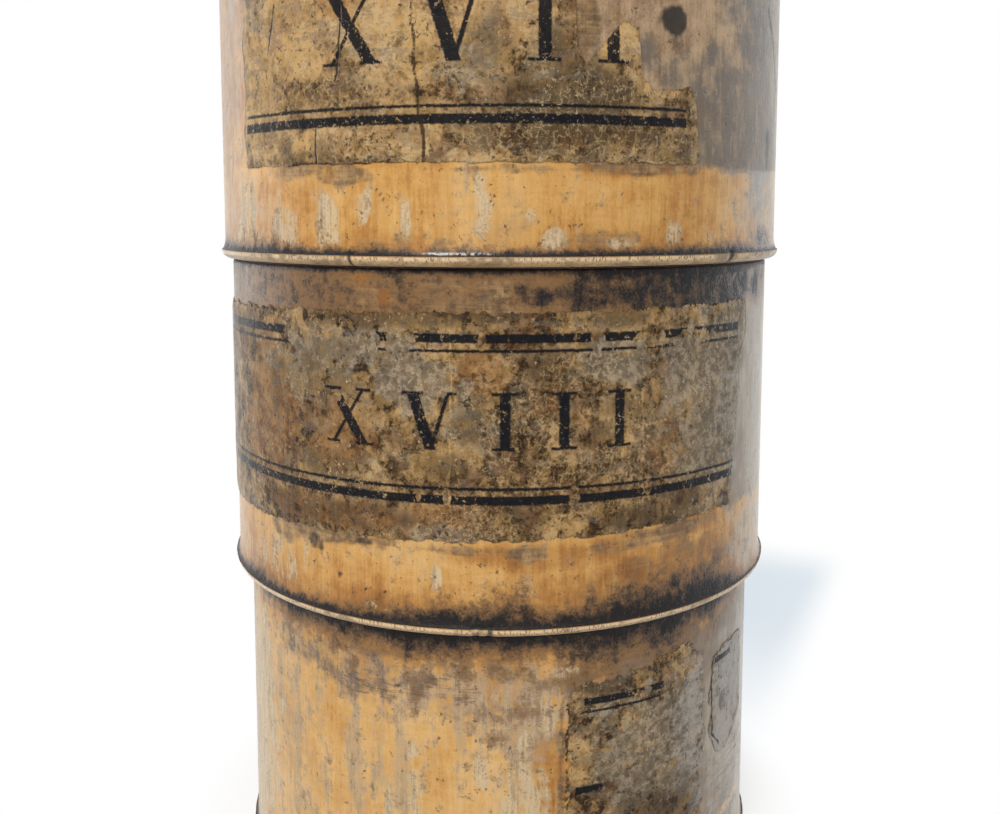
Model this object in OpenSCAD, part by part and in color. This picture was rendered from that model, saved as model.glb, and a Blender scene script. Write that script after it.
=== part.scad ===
// Spice tower of turned wood. Cups screw onto one another, so that each is the lid of the cup below it,
// a domed lid closes the top one, and printed paper labels are glued around the walls.
// The front of the tower faces -Y. The foot stands on z = 0.

/* [Tiers] */
// Height that a tier adds to the tower, from seam to seam
tier_h = 40; // [36:0.5:60]
// Diameter over the rims
rim_d = 73; // [66:0.5:100]
// How far a rim stands out from the wall above it
rim_proud = 0.55; // [0.3:0.05:1.5]
// Height of a rim's widest line above its seam
rim_h = 1.1; // [0.6:0.1:3]
// How far the rim is rounded back below its widest line
rim_round = 1.2; // [0.6:0.1:2]
// Height of the hollow curve between the rim's widest line and the wall
cove_h = 2.1; // [1:0.1:5]
// How much the wall draws in between the cove and the shoulder
wall_taper = 0.85; // [0.2:0.05:2]
// How much smaller in radius the bottom tier is turned
bottom_trim = 0.6; // [0:0.1:1]

/* [Inside] */
// Width of the shoulder around a neck's thread
shoulder_w = 3.6; // [2.5:0.1:6]
// Wall of the neck inside its thread
neck_wall = 3; // [2:0.1:5]
// Thickness of a floor disc
floor_t = 4; // [2.5:0.1:8]
// Depth of the turned hollow in a floor disc
floor_dish = 0.6; // [0.2:0.1:1.2]
// Width of the ledge that a floor disc is stopped by
floor_ledge = 1.7; // [1:0.1:2.3]
// Depth of the hollow under the bottom tier
foot_hollow = 1.5; // [0.5:0.1:5]

/* [Screw] */
// Height of a threaded neck
neck_h = 8.5; // [7:0.5:14]
// Bevel on the end of a neck
neck_bevel = 0.6; // [0.3:0.1:1]
// Rise of the thread in one turn
thread_pitch = 4; // [3.2:0.1:5]
// Depth of the thread
thread_depth = 1.3; // [0.8:0.1:1.8]
// Width of the ridge's flat crest
thread_crest = 0.8; // [0.4:0.1:1.2]
// Slope of the ridge's flanks in degrees
thread_flank = 30; // [20:1:40]
// Angle over which a ridge or groove fades out in degrees
thread_fade = 40; // [20:1:60]

/* [Clearances] */
// Clearance all round the thread
thread_gap = 0.4; // [0.3:0.05:0.6]
// Clearance above the end of a neck
neck_gap = 0.5; // [0.3:0.1:1]
// Clearance in the seam between two tiers
seam_gap = 0.15; // [0.1:0.05:0.4]
// Clearance around the floor discs and the lid's button
fit_gap = 0.08; // [0.05:0.01:0.1]
// Thickness of the glue under a label
glue_t = 0.05; // [0.03:0.01:0.1]

/* [Lid] */
// Thickness of the lid's roof at its edge
lid_roof_t = 2.5; // [1.5:0.1:6]
// Radius that rounds the lid's edge
lid_round = 2; // [1:0.1:4]
// Width of the flat fillet between the rounded edge and the dome
lid_fillet_w = 0.8; // [0.4:0.1:2]
// Rise of the dome above its edge
lid_dome_h = 3.5; // [2:0.1:8]
// Diameter of the ring that is cut into the dome
lid_ring_d = 42; // [25:0.5:55]
// Depth of that ring
lid_ring_depth = 0.5; // [0.3:0.1:1]
// Diameter of the button
button_d = 11; // [8:0.5:20]
// Height of the button
button_h = 2.6; // [1.5:0.1:5]
// Diameter of the button's tenon
tenon_d = 6; // [4:0.5:7]

/* [Labels] */
// Thickness of the varnished paper
label_t = 0.25; // [0.15:0.05:0.6]
// Height of a label's lower edge above its tier's seam
label_foot = 10.4; // [6:0.1:14]
// Distance from a label's upper edge to the shoulder
label_head = 4.35; // [2:0.05:8]

/* [Hidden] */
$fn = 96;

tiers = 4;
rim_r = rim_d / 2;
wall_foot_r = rim_r - rim_proud;
wall_top_r = wall_foot_r - wall_taper;
wall_z = rim_h + cove_h;
body_h = tier_h - seam_gap;

// Radii from the thread's crest inwards
crest_r = wall_top_r - shoulder_w;
core_r = crest_r - thread_depth;
bore_r = core_r - neck_wall;
rebate_r = bore_r + floor_ledge;
socket_r = core_r + thread_gap;
groove_r = crest_r + thread_gap;
socket_h = neck_h + neck_gap;

// Helix that the ridge and the groove share, with heights above the shoulder
thread_steps = 48;
thread_sink = 0.7;
ridge_root_w = ridge_w(core_r);
groove_root_w = ridge_w(socket_r) + thread_gap;
thread_z = ridge_root_w + neck_gap;
thread_end_z = neck_h - groove_root_w - thread_pitch * thread_fade / 360;
thread_turn = 360 * (thread_end_z - thread_z) / thread_pitch;
groove_lead = 360 * (thread_z + groove_root_w + neck_gap) / thread_pitch;

lid_edge_z = socket_h + lid_roof_t;
dome_r = wall_top_r - lid_round - lid_fillet_w;
dome_sphere_r = (dome_r * dome_r + lid_dome_h * lid_dome_h) / (2 * lid_dome_h);
button_r = button_d / 2;
tenon_r = tenon_d / 2;
seat_r = button_r + fit_gap;
seat_z = dome_z(seat_r);
lid_z = tiers * tier_h;

label_h = body_h - label_foot - label_head;

// Outlines of the labels: degrees round from the front, and share of the label's height
tier_1_outline = [[12, 0], [48, 0], [44, 0.2], [47, 0.5], [46, 0.9], [40, 1], [30, 0.95], [16, 0.93],
    [12.5, 0.84]];
flake_outline = [[52, 0.35], [60, 0.36], [67, 0.45], [66, 0.93], [56, 0.97], [50, 0.9], [48.7, 0.7], [49, 0.4]];
tier_2_outline = [[-80, -0.03], [0, 0.015], [50, 0.04], [51.5, 0.2], [54.5, 0.43], [57.5, 1.01], [-80, 0.98]];
tier_3_outline = [[-54, 0], [38, 0], [34.5, 0.07], [33, 0.17], [35, 0.27], [34, 0.31], [26.5, 0.295],
    [24, 0.33], [23.5, 0.52], [20.5, 0.55], [16.3, 0.44], [14, 0.39], [11.5, 0.48], [10, 0.62], [12, 0.82],
    [9, 1], [-52, 1]];
tier_4_outline = [[-55, 0], [55, 0], [54, 1], [-18, 1], [-22, 0.85], [-33, 0.8], [-38, 0.62], [-55, 0.58]];

wood = [0.80, 0.58, 0.29];
pale_wood = [0.84, 0.68, 0.45];
paper = [0.56, 0.46, 0.30];

// How much smaller a tier is turned than the rest
function trim(tier) = tier == 1 ? bottom_trim : 0;

// Height of a tier's floor disc above its seam
function floor_z(tier) = tier == 1 ? foot_hollow : socket_h;

// Half the width of the thread's ridge at a radius
function ridge_w(r) = thread_crest / 2 + (crest_r - r) * tan(thread_flank);

// Radius of a tier's wall at a height above its seam
function wall_r(tier, z) = wall_foot_r - trim(tier) - wall_taper * (z - wall_z) / (body_h - wall_z);

// Height of the dome's surface above the lid's seam
function dome_z(r) = lid_edge_z + lid_dome_h - dome_sphere_r + sqrt(dome_sphere_r * dome_sphere_r - r * r);

// Rim and cove in profile: a quarter ellipse out to the widest line, then a hollow one up to the wall
function rim_profile(r) = concat(
    [for (a = [-90:15:0]) [r - rim_round + rim_round * cos(a), rim_h + rim_h * sin(a)]],
    [for (a = [15:15:90]) [r - rim_proud * sin(a), wall_z - cove_h * cos(a)]]
);

// Points of one thread section: root low, crest low, crest high, root high
function thread_section(a, z, root_r, root_w, tip_r, tip_w) = [
    [root_r * cos(a), root_r * sin(a), z - root_w],
    [tip_r * cos(a), tip_r * sin(a), z - tip_w],
    [tip_r * cos(a), tip_r * sin(a), z + tip_w],
    [root_r * cos(a), root_r * sin(a), z + root_w],
];

// Thread section swept up the helix from angle a0 to a1, fading to faded_r at the ends that fade
module helix(a0, a1, z, root_r, root_w, tip_r, tip_w, faded_r, fade_start) {
    steps = ceil((a1 - a0) * thread_steps / 360);
    points = [for (i = [0:steps])
        let (a = a0 + (a1 - a0) * i / steps)
        let (rise = fade_start ? min(1, (a - a0) / thread_fade) : 1)
        let (reach = min(rise, (a1 - a) / thread_fade, 1))
        let (r = faded_r + (tip_r - faded_r) * reach)
        let (w = root_w + (tip_w - root_w) * (r - root_r) / (tip_r - root_r))
        each thread_section(a, z + thread_pitch * a / 360, root_r, root_w, r, w)];
    sides = [for (i = [0:steps - 1])
        for (j = [0:3])
        let (near = 4 * i + j)
        let (next = 4 * i + (j + 1) % 4)
        each [[near, next, next + 4], [near, next + 4, near + 4]]];
    last = 4 * steps;
    caps = [[0, 3, 2], [0, 2, 1], [last, last + 1, last + 2], [last, last + 2, last + 3]];
    polyhedron(points, concat(sides, caps), convexity = 10);
}

// Ridge on the outside of a neck, above its shoulder
module ridge() {
    root_r = core_r - thread_sink;
    helix(0, thread_turn, thread_z, root_r, ridge_w(root_r), crest_r, thread_crest / 2,
        core_r - thread_sink / 2, true);
}

// Groove in a socket, from below its mouth to just past the place where the ridge ends
module groove() {
    root_r = socket_r - thread_sink;
    helix(-groove_lead, thread_turn + thread_fade, thread_z - seam_gap,
        root_r, ridge_w(root_r) + thread_gap, groove_r, ridge_w(groove_r) + thread_gap,
        socket_r - thread_sink / 2, false);
}

// Cup without its floor: rim, wall, shoulder and threaded neck around a straight bore
module cup(tier) {
    r = rim_r - trim(tier);
    ledge_z = floor_z(tier) + floor_t;
    outside = concat(rim_profile(r), [[wall_top_r - trim(tier), body_h]]);
    neck = [
        [core_r, body_h],
        [core_r, body_h + neck_h - neck_bevel],
        [core_r - neck_bevel, body_h + neck_h],
        [bore_r, body_h + neck_h],
    ];
    ledge = [[bore_r, ledge_z], [rebate_r, ledge_z]];
    socket = [[rebate_r, socket_h], [socket_r, socket_h], [socket_r, 0]];
    foot = [[rebate_r, 0]];
    color(wood)
    translate([0, 0, (tier - 1) * tier_h])
    difference() {
        union() {
            rotate_extrude() polygon(concat(outside, neck, ledge, tier == 1 ? foot : socket));
            translate([0, 0, body_h]) ridge();
        }
        if (tier > 1) groove();
    }
}

// Floor disc with a turned hollow, let into its cup from below against the ledge
module floor_disc(tier) {
    r = rebate_r - fit_gap;
    top = floor_t - fit_gap;
    color(pale_wood)
    translate([0, 0, (tier - 1) * tier_h + floor_z(tier)])
    rotate_extrude() polygon([[0, 0], [r, 0], [r, top], [bore_r - fit_gap, top], [0, top - floor_dish]]);
}

// Piece of paper glued around the front of a tier's wall, cut to an outline
module label(tier, outline) {
    back_r = glue_t;
    face_r = glue_t + label_t;
    z0 = wall_z;
    z1 = body_h;
    middle_r = wall_r(tier, label_foot + label_h / 2);
    color(paper)
    translate([0, 0, (tier - 1) * tier_h])
    intersection() {
        rotate([0, 0, 180])
        rotate_extrude(angle = 180)
        polygon([
            [wall_r(tier, z0) + back_r, z0],
            [wall_r(tier, z0) + face_r, z0],
            [wall_r(tier, z1) + face_r, z1],
            [wall_r(tier, z1) + back_r, z1],
        ]);
        rotate([90, 0, 0])
        linear_extrude(height = rim_d)
        polygon([for (p = outline) [middle_r * sin(p[0]), label_foot + p[1] * label_h]]);
    }
}

// Lid with the tiers' rim and socket, a rounded edge, a low dome with a cut ring, and a bore for the button
module lid_cap() {
    wall_end = [for (a = [0:15:90]) [
        wall_top_r - lid_round + lid_round * cos(a),
        lid_edge_z - lid_round + lid_round * sin(a)]];
    dome = [for (i = [0:12]) let (r = dome_r + (seat_r - dome_r) * i / 12) [r, dome_z(r)]];
    bore = [[tenon_r + fit_gap, seat_z], [tenon_r + fit_gap, socket_h]];
    socket = [[socket_r, socket_h], [socket_r, 0]];
    color(wood)
    translate([0, 0, lid_z])
    difference() {
        rotate_extrude() polygon(concat(rim_profile(rim_r), wall_end, dome, bore, socket));
        groove();
        rotate_extrude() translate([lid_ring_d / 2, dome_z(lid_ring_d / 2)]) circle(lid_ring_depth);
    }
}

// Button with a rounded head on the dome's seat and a tenon through the roof
module lid_button() {
    head = [for (a = [0:15:90]) [button_r * cos(a), seat_z + fit_gap + button_h * sin(a)]];
    tenon = [[0, socket_h + fit_gap], [tenon_r, socket_h + fit_gap], [tenon_r, seat_z + fit_gap]];
    color(pale_wood)
    translate([0, 0, lid_z])
    rotate_extrude() polygon(concat(tenon, head));
}

cup(1);  // tier_1_cup
floor_disc(1);  // tier_1_floor
label(1, tier_1_outline);  // tier_1_label
label(1, flake_outline);  // tier_1_flake
cup(2);  // tier_2_cup
floor_disc(2);  // tier_2_floor
label(2, tier_2_outline);  // tier_2_label
cup(3);  // tier_3_cup
floor_disc(3);  // tier_3_floor
label(3, tier_3_outline);  // tier_3_label
cup(4);  // tier_4_cup
floor_disc(4);  // tier_4_floor
label(4, tier_4_outline);  // tier_4_label
lid_cap();
lid_button();
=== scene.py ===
"""Looks of the spice tower: turned and varnished cups, torn paper labels, lid, camera and studio light.

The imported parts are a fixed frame. Every piece here is a surface worked out from the tower's sizes, in
millimetres, and rides on the body whose part it stands for. Angles go round the axis in degrees from the
front, which faces -Y, and are positive towards +X. Heights are above the seam of the piece's own tier.
"""

import logging
import math
from dataclasses import dataclass, field
from enum import Enum, IntEnum
from typing import ClassVar

import bpy
import numpy as np
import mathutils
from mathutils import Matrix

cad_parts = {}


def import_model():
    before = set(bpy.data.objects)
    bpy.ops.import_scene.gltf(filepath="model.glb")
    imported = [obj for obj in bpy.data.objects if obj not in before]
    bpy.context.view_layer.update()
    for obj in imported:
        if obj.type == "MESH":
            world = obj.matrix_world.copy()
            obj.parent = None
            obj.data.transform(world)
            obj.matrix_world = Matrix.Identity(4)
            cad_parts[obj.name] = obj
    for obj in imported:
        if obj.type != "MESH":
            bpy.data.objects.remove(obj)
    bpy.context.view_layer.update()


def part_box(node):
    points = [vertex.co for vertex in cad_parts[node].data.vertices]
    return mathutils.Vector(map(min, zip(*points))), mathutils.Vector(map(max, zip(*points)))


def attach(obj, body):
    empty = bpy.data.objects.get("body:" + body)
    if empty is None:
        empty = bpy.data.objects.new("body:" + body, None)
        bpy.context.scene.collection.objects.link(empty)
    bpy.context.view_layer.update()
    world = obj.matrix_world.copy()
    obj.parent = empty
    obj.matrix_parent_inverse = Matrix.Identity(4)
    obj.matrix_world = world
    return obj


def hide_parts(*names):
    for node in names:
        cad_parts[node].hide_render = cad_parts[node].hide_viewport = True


LOG = logging.getLogger("spice_tower")
METRES = 0.001
FULL_TURN = 360.0
SHARP_ANGLE = math.radians(38)
# Width in millimetres of the band along a label's edge over which its paper may fray.
EDGE_BAND = 1.6
# Widths of the numerals' letters, in heights of a capital.
LETTER_WIDTHS = {"I": 0.46, "V": 1.0, "X": 1.02}

Array = np.ndarray
Pair = tuple[float, float]
Vector = tuple[float, float, float]
Colour = tuple[float, float, float]
Depths = tuple[Pair, ...]


class Wear(Enum):
    """What age has done to a place on the varnish or on the paper, and where shade, sheen and highlight are
    painted on it. The value names the mesh attribute.
    """

    TONE = "tone"
    SHADE = "shade"
    PALE = "pale"
    STREAK = "streak"
    BARE = "bare"
    GREY = "grey"
    HAZE_AND_SHEEN = "haze_and_sheen"
    DEEP = "deep"
    GRIME_AND_SHADE = "grime_and_shade"
    STAIN = "stain"
    GLOSS = "gloss"
    SCRATCH = "scratch"
    WORN_AND_LIT = "worn_and_lit"
    INSIDE = "inside"
    RUST = "rust"
    LIGHT = "light"
    CRAZE = "craze"
    SCUFF = "scuff"
    CRACK = "crack"
    EDGE = "edge"


class Zone(IntEnum):
    """Where on a turned piece a point of its section lies. From the neck on, the wood has no varnish."""

    SEAM = 0
    OUTSIDE = 1
    NECK = 2
    INNER = 3
    SOCKET = 4


class Seed(IntEnum):
    """Seeds of the random fields. A tier's number is added to the seed of its field, or multiplies a step."""

    SHRINKAGE = 0
    WRINKLE_STEP = 7
    COVE = 20
    SEAM = 30
    SHADE_AND_BROWNING = 40
    BEAD = 50
    LID_COVE = 77
    LID_CLOUDS = 78
    BUTTON_CLOUDS = 79
    MARK_STEP = 100
    PAPER_MARKS = 1000


def eased(value: Array) -> Array:
    """Smooth step from 0 to 1: 3t² - 2t³ of the value held between 0 and 1.

    Args:
        value: Any array.

    Returns:
        The eased array.
    """
    t = np.clip(value, 0.0, 1.0)
    return t * t * (3.0 - 2.0 * t)


def band(value: Array, start: Pair, end: Pair) -> Array:
    """1 between two values and 0 outside them, eased at each.

    Args:
        value: Any array.
        start: Where the band starts, and how long it takes to rise.
        end: Where it ends, and how long it takes to fall.

    Returns:
        Shares of the band.
    """
    return eased((end[0] - value) / end[1]) * eased((value - start[0]) / start[1])


def faded(gap: Array, peak: float, width: Array | float) -> Array:
    """Share that falls off evenly with a distance: peak - gap / width, held between 0 and 1.

    Args:
        gap: Distances.
        peak: Share at no distance, before it is held to 1.
        width: Distance over which the share falls by 1.

    Returns:
        The shares.
    """
    return np.clip(peak - gap / width, 0, 1)


def turn_gap(angle: Array, centre: float) -> Array:
    """Signed degrees from a centre angle, the short way round.

    Args:
        angle: Angles in degrees.
        centre: The angle to measure from.

    Returns:
        Gaps between -180 and 180 degrees.
    """
    return (angle - centre + FULL_TURN / 2) % FULL_TURN - FULL_TURN / 2


@dataclass(frozen=True)
class Lattice:
    """Smooth random field around the tower that closes after a full turn."""

    seed: int
    reach: ClassVar[float] = 200.0
    below: ClassVar[float] = 20.0
    peak: ClassVar[float] = 1.5

    def field(self, angle: Array, height: Array, cell: Pair, octaves: int = 3) -> Array:
        """Sum of octaves of random lattices, eased between points, each half as coarse and as strong.

        Args:
            angle: Degrees round the tower.
            height: Heights in millimetres.
            cell: Size of the coarsest cell, in degrees and in millimetres.
            octaves: Number of octaves.

        Returns:
            Values of about -1 to 1 on the broadcast shape.
        """
        angle, height = np.broadcast_arrays(angle, height)
        total = np.zeros(angle.shape)
        rng = np.random.default_rng(self.seed)
        for octave in range(octaves):
            columns = max(3, round(FULL_TURN / cell[0])) * 2**octave
            rows = int(self.reach / cell[1] * 2**octave) + 3
            values = rng.uniform(-1.0, 1.0, (rows, columns))
            x = (angle / FULL_TURN * columns) % columns
            y = np.clip((height + self.below) / cell[1] * 2**octave, 0, rows - 2)
            column, row = x.astype(int) % columns, y.astype(int)
            beside = (column + 1) % columns
            a, b = eased(x - np.floor(x)), eased(y - row)
            low = values[row, column] * (1 - a) + values[row, beside] * a
            high = values[row + 1, column] * (1 - a) + values[row + 1, beside] * a
            total += (low * (1 - b) + high * b) * 0.5**octave
        return total / self.peak


@dataclass(frozen=True)
class Mark:
    """A place of wear on a wall."""

    kind: Wear

    def near(self, angle: Array, radius: float) -> Array:
        """Which angles the mark may reach."""
        raise NotImplementedError

    def cover(self, angle: Array, height: Array, radius: float, warp: Array) -> Array:
        """Share of wear at each point.

        Args:
            angle: Degrees round the tower.
            height: Heights in millimetres.
            radius: Radius of the wall, to turn degrees into millimetres.
            warp: Random field that pushes the mark's edge about.

        Returns:
            Values from 0 to the mark's strength.
        """
        raise NotImplementedError


@dataclass(frozen=True)
class Spot(Mark):
    """A soft-edged ellipse of wear: its place, half width and half height, and how strong it is."""

    angle: float
    height: float
    wide: float
    tall: float
    strength: float = 1.0
    reach: ClassVar[float] = 2.2
    outer: ClassVar[float] = 1.45
    ragged: ClassVar[float] = 0.45
    soft: ClassVar[float] = 0.9

    def near(self, angle: Array, radius: float) -> Array:
        """Which angles the spot may reach."""
        return np.abs(turn_gap(angle, self.angle)) < np.degrees(self.reach * self.wide / radius)

    def cover(self, angle: Array, height: Array, radius: float, warp: Array) -> Array:
        """Share of wear: full inside the ellipse, none outside, with a warped edge between."""
        across = np.radians(turn_gap(angle, self.angle)) * radius / self.wide
        up = (height - self.height) / self.tall
        inward = self.outer - np.hypot(across, up) + self.ragged * warp
        return self.strength * eased(inward / self.soft)


@dataclass(frozen=True)
class Stroke(Mark):
    """A line of wear between two places, such as a scratch or a crack."""

    start: Pair
    end: Pair
    wide: float
    strength: float = 1.0
    reach: ClassVar[float] = 3.0
    margin: ClassVar[float] = 1.0
    bend: ClassVar[Pair] = (0.35, 0.2)
    outer: ClassVar[float] = 1.6
    soft: ClassVar[float] = 1.2

    def near(self, angle: Array, radius: float) -> Array:
        """Which angles the stroke may reach."""
        beyond = np.degrees((self.reach * self.wide + self.margin) / radius)
        half = abs(self.end[0] - self.start[0]) / 2 + beyond
        return np.abs(turn_gap(angle, (self.start[0] + self.end[0]) / 2)) < half

    def cover(self, angle: Array, height: Array, radius: float, warp: Array) -> Array:
        """Share of wear, from the distance to the line, which the warp makes crooked."""
        scale = math.radians(1.0) * radius
        x = turn_gap(angle, self.start[0]) * scale + self.bend[0] * warp
        y = height - self.start[1] + self.bend[1] * warp
        dx = (self.end[0] - self.start[0]) * scale
        dy = self.end[1] - self.start[1]
        along = np.clip((x * dx + y * dy) / (dx * dx + dy * dy), 0, 1)
        gap = np.hypot(x - along * dx, y - along * dy)
        return self.strength * eased((self.outer - gap / self.wide) / self.soft)


@dataclass(frozen=True)
class Pane(Mark):
    """An upright rectangle of wear, such as the place that a lost piece of label has left."""

    left: float
    right: float
    low: float
    high: float
    strength: float = 1.0
    soft: float = 0.8
    margin: ClassVar[float] = 3.0
    bend: ClassVar[float] = 0.4

    def near(self, angle: Array, radius: float) -> Array:
        """Which angles the pane may reach."""
        half = (self.right - self.left) / 2
        return np.abs(turn_gap(angle, self.left + half)) < half + self.margin

    def cover(self, angle: Array, height: Array, radius: float, warp: Array) -> Array:
        """Share of wear, from the distance inside the nearest side, made uneven by the warp."""
        half = (self.right - self.left) / 2
        across = (half - np.abs(turn_gap(angle, self.left + half))) * math.radians(1.0) * radius
        inward = np.minimum(across, np.minimum(height - self.low, self.high - height))
        return self.strength * eased((inward + self.bend * warp) / self.soft + 0.5)


Marks = tuple[Mark, ...]


@dataclass(frozen=True)
class TowerSizes:
    """Sizes of the tower in millimetres, under the names that the parts are built from."""

    tier_height: float
    rim_radius: float
    rim_proud: float = 0.55
    rim_height: float = 1.1
    rim_round: float = 1.2
    cove_height: float = 2.1
    wall_taper: float = 0.85
    bottom_trim: float = 0.6
    shoulder_width: float = 3.6
    neck_wall: float = 3.0
    floor_thickness: float = 4.0
    floor_dish: float = 0.6
    floor_ledge: float = 1.7
    foot_hollow: float = 1.5
    neck_height: float = 8.5
    neck_bevel: float = 0.6
    thread_pitch: float = 4.0
    thread_depth: float = 1.3
    thread_crest: float = 0.8
    thread_flank: float = 30.0
    thread_fade: float = 40.0
    thread_start: float = 90.0
    thread_run_on: int = 2
    thread_gap: float = 0.4
    neck_gap: float = 0.5
    seam_gap: float = 0.15
    fit_gap: float = 0.08
    glue: float = 0.05
    lid_roof: float = 2.5
    lid_round: float = 2.0
    lid_fillet: float = 0.8
    lid_dome: float = 3.5
    lid_ring_radius: float = 21.0
    lid_ring_depth: float = 0.5
    button_radius: float = 5.5
    button_height: float = 2.6
    tenon_radius: float = 3.0
    label_foot: float = 10.4
    label_head: float = 4.35

    @classmethod
    def from_frame(cls) -> "TowerSizes":
        """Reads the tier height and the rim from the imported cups' boxes; the rest keep their own values."""
        low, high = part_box("tier_2_cup")
        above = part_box("tier_3_cup")[0]
        return cls(tier_height=(above.z - low.z) / METRES, rim_radius=(high.x - low.x) / 2 / METRES)

    @property
    def wall_foot(self) -> float:
        """Radius of the wall just above the cove."""
        return self.rim_radius - self.rim_proud

    @property
    def wall_top(self) -> float:
        """Radius of the wall at the shoulder."""
        return self.wall_foot - self.wall_taper

    @property
    def wall_start(self) -> float:
        """Height at which the wall rises out of the cove."""
        return self.rim_height + self.cove_height

    @property
    def body_height(self) -> float:
        """Height of a tier's shoulder above its seam."""
        return self.tier_height - self.seam_gap

    @property
    def crest(self) -> float:
        """Radius of the thread's crest."""
        return self.wall_top - self.shoulder_width

    @property
    def core(self) -> float:
        """Radius of the neck under its thread."""
        return self.crest - self.thread_depth

    @property
    def bore(self) -> float:
        """Radius of a compartment."""
        return self.core - self.neck_wall

    @property
    def rebate(self) -> float:
        """Radius of the recess that a floor disc sits in."""
        return self.bore + self.floor_ledge

    @property
    def socket(self) -> float:
        """Radius of a socket between its grooves."""
        return self.core + self.thread_gap

    @property
    def socket_height(self) -> float:
        """Depth of a socket."""
        return self.neck_height + self.neck_gap

    @property
    def label_height(self) -> float:
        """Height of a whole label."""
        return self.body_height - self.label_foot - self.label_head

    def trim(self, tier: int) -> float:
        """How much smaller in radius a tier is turned."""
        return self.bottom_trim if tier == 1 else 0.0

    def floor_base(self, tier: int) -> float:
        """Height of the underside of a tier's floor disc."""
        return self.foot_hollow if tier == 1 else self.socket_height

    def wall(self, tier: int, height: Array) -> Array:
        """Radius of a tier's wall, which draws in evenly from the cove to the shoulder."""
        share = (height - self.wall_start) / (self.body_height - self.wall_start)
        return self.wall_foot - self.trim(tier) - self.wall_taper * share

    def ridge_half_width(self, radius: float) -> float:
        """Half the width of the thread's ridge at a radius."""
        return self.thread_crest / 2 + (self.crest - radius) * math.tan(math.radians(self.thread_flank))

    def thread(self, angle: Array, height: Array, gap: float) -> Array:
        """How far the ridge, or the groove that clears it by a gap, stands out of the core at each point.

        The ridge follows a right-hand helix. At each point its depth is what the flanks leave there, for the
        nearest turn, and it fades out at the ends of the helix. A groove runs on below its socket's mouth.

        Args:
            angle: Degrees round the tower.
            height: Heights above the shoulder in millimetres.
            gap: Clearance round the ridge, 0 for the ridge itself.

        Returns:
            Millimetres of depth.
        """
        slope = math.tan(math.radians(self.thread_flank))
        groove_width = self.ridge_half_width(self.socket) + self.thread_gap
        first = self.ridge_half_width(self.core) + self.neck_gap
        last = self.neck_height - groove_width - self.thread_pitch * self.thread_fade / FULL_TURN
        length = FULL_TURN * (last - first) / self.thread_pitch
        start = -self.thread_run_on * FULL_TURN if gap else 0.0
        end = length + (self.thread_fade if gap else 0.0)
        depth = np.zeros(np.broadcast(angle, height).shape)
        for turn in range(-self.thread_run_on, self.thread_run_on + 1):
            along = (angle - self.thread_start) % FULL_TURN + FULL_TURN * turn
            off = np.abs(height - first - self.thread_pitch * along / FULL_TURN)
            flat = self.thread_crest / 2 + gap * (1 - slope)
            full = np.clip(self.thread_depth - np.maximum(off - flat, 0) / slope, 0, None)
            fade = np.clip(np.minimum(along - start, end - along) / self.thread_fade, 0, 1)
            depth = np.maximum(depth, np.minimum(full, self.thread_depth * fade))
        return depth


class Wire:
    """A value that leaves a node's socket. Operators on it add Math nodes."""

    def __init__(self, bench: "Bench", socket: bpy.types.NodeSocket) -> None:
        """Keeps the socket and the bench that its node stands on."""
        self.bench = bench
        self.socket = socket

    def math(self, operation: str, *terms: "Wire | float") -> "Wire":
        """Adds one Math node.

        Args:
            operation: The node's operation.
            terms: Values or links of its sockets.

        Returns:
            The node's result.
        """
        return self.bench.add("ShaderNodeMath", {"operation": operation}, dict(enumerate(terms)))

    def __add__(self, other: "Wire | float") -> "Wire":
        """Sum."""
        return self.math("ADD", self, other)

    __radd__ = __add__

    def __sub__(self, other: "Wire | float") -> "Wire":
        """Difference."""
        return self.math("SUBTRACT", self, other)

    def __rsub__(self, other: "Wire | float") -> "Wire":
        """Difference from a number."""
        return self.math("SUBTRACT", other, self)

    def __mul__(self, other: "Wire | float") -> "Wire":
        """Product."""
        return self.math("MULTIPLY", self, other)

    __rmul__ = __mul__

    def __truediv__(self, other: "Wire | float") -> "Wire":
        """Quotient."""
        return self.math("DIVIDE", self, other)

    def __abs__(self) -> "Wire":
        """Size without sign."""
        return self.math("ABSOLUTE", self)

    def most(self, other: "Wire | float") -> "Wire":
        """The larger of two values."""
        return self.math("MAXIMUM", self, other)

    def least(self, other: "Wire | float") -> "Wire":
        """The smaller of two values."""
        return self.math("MINIMUM", self, other)

    def beside(self, output: str) -> "Wire":
        """Another output of the same node."""
        return Wire(self.bench, self.socket.node.outputs[output])

    def step(self, low: float, high: float) -> "Wire":
        """Smooth step from 0 at low to 1 at high."""
        settings = {"interpolation_type": "SMOOTHSTEP"}
        inputs = {"Value": self, "From Min": low, "From Max": high}
        return self.bench.add("ShaderNodeMapRange", settings, inputs)


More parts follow.
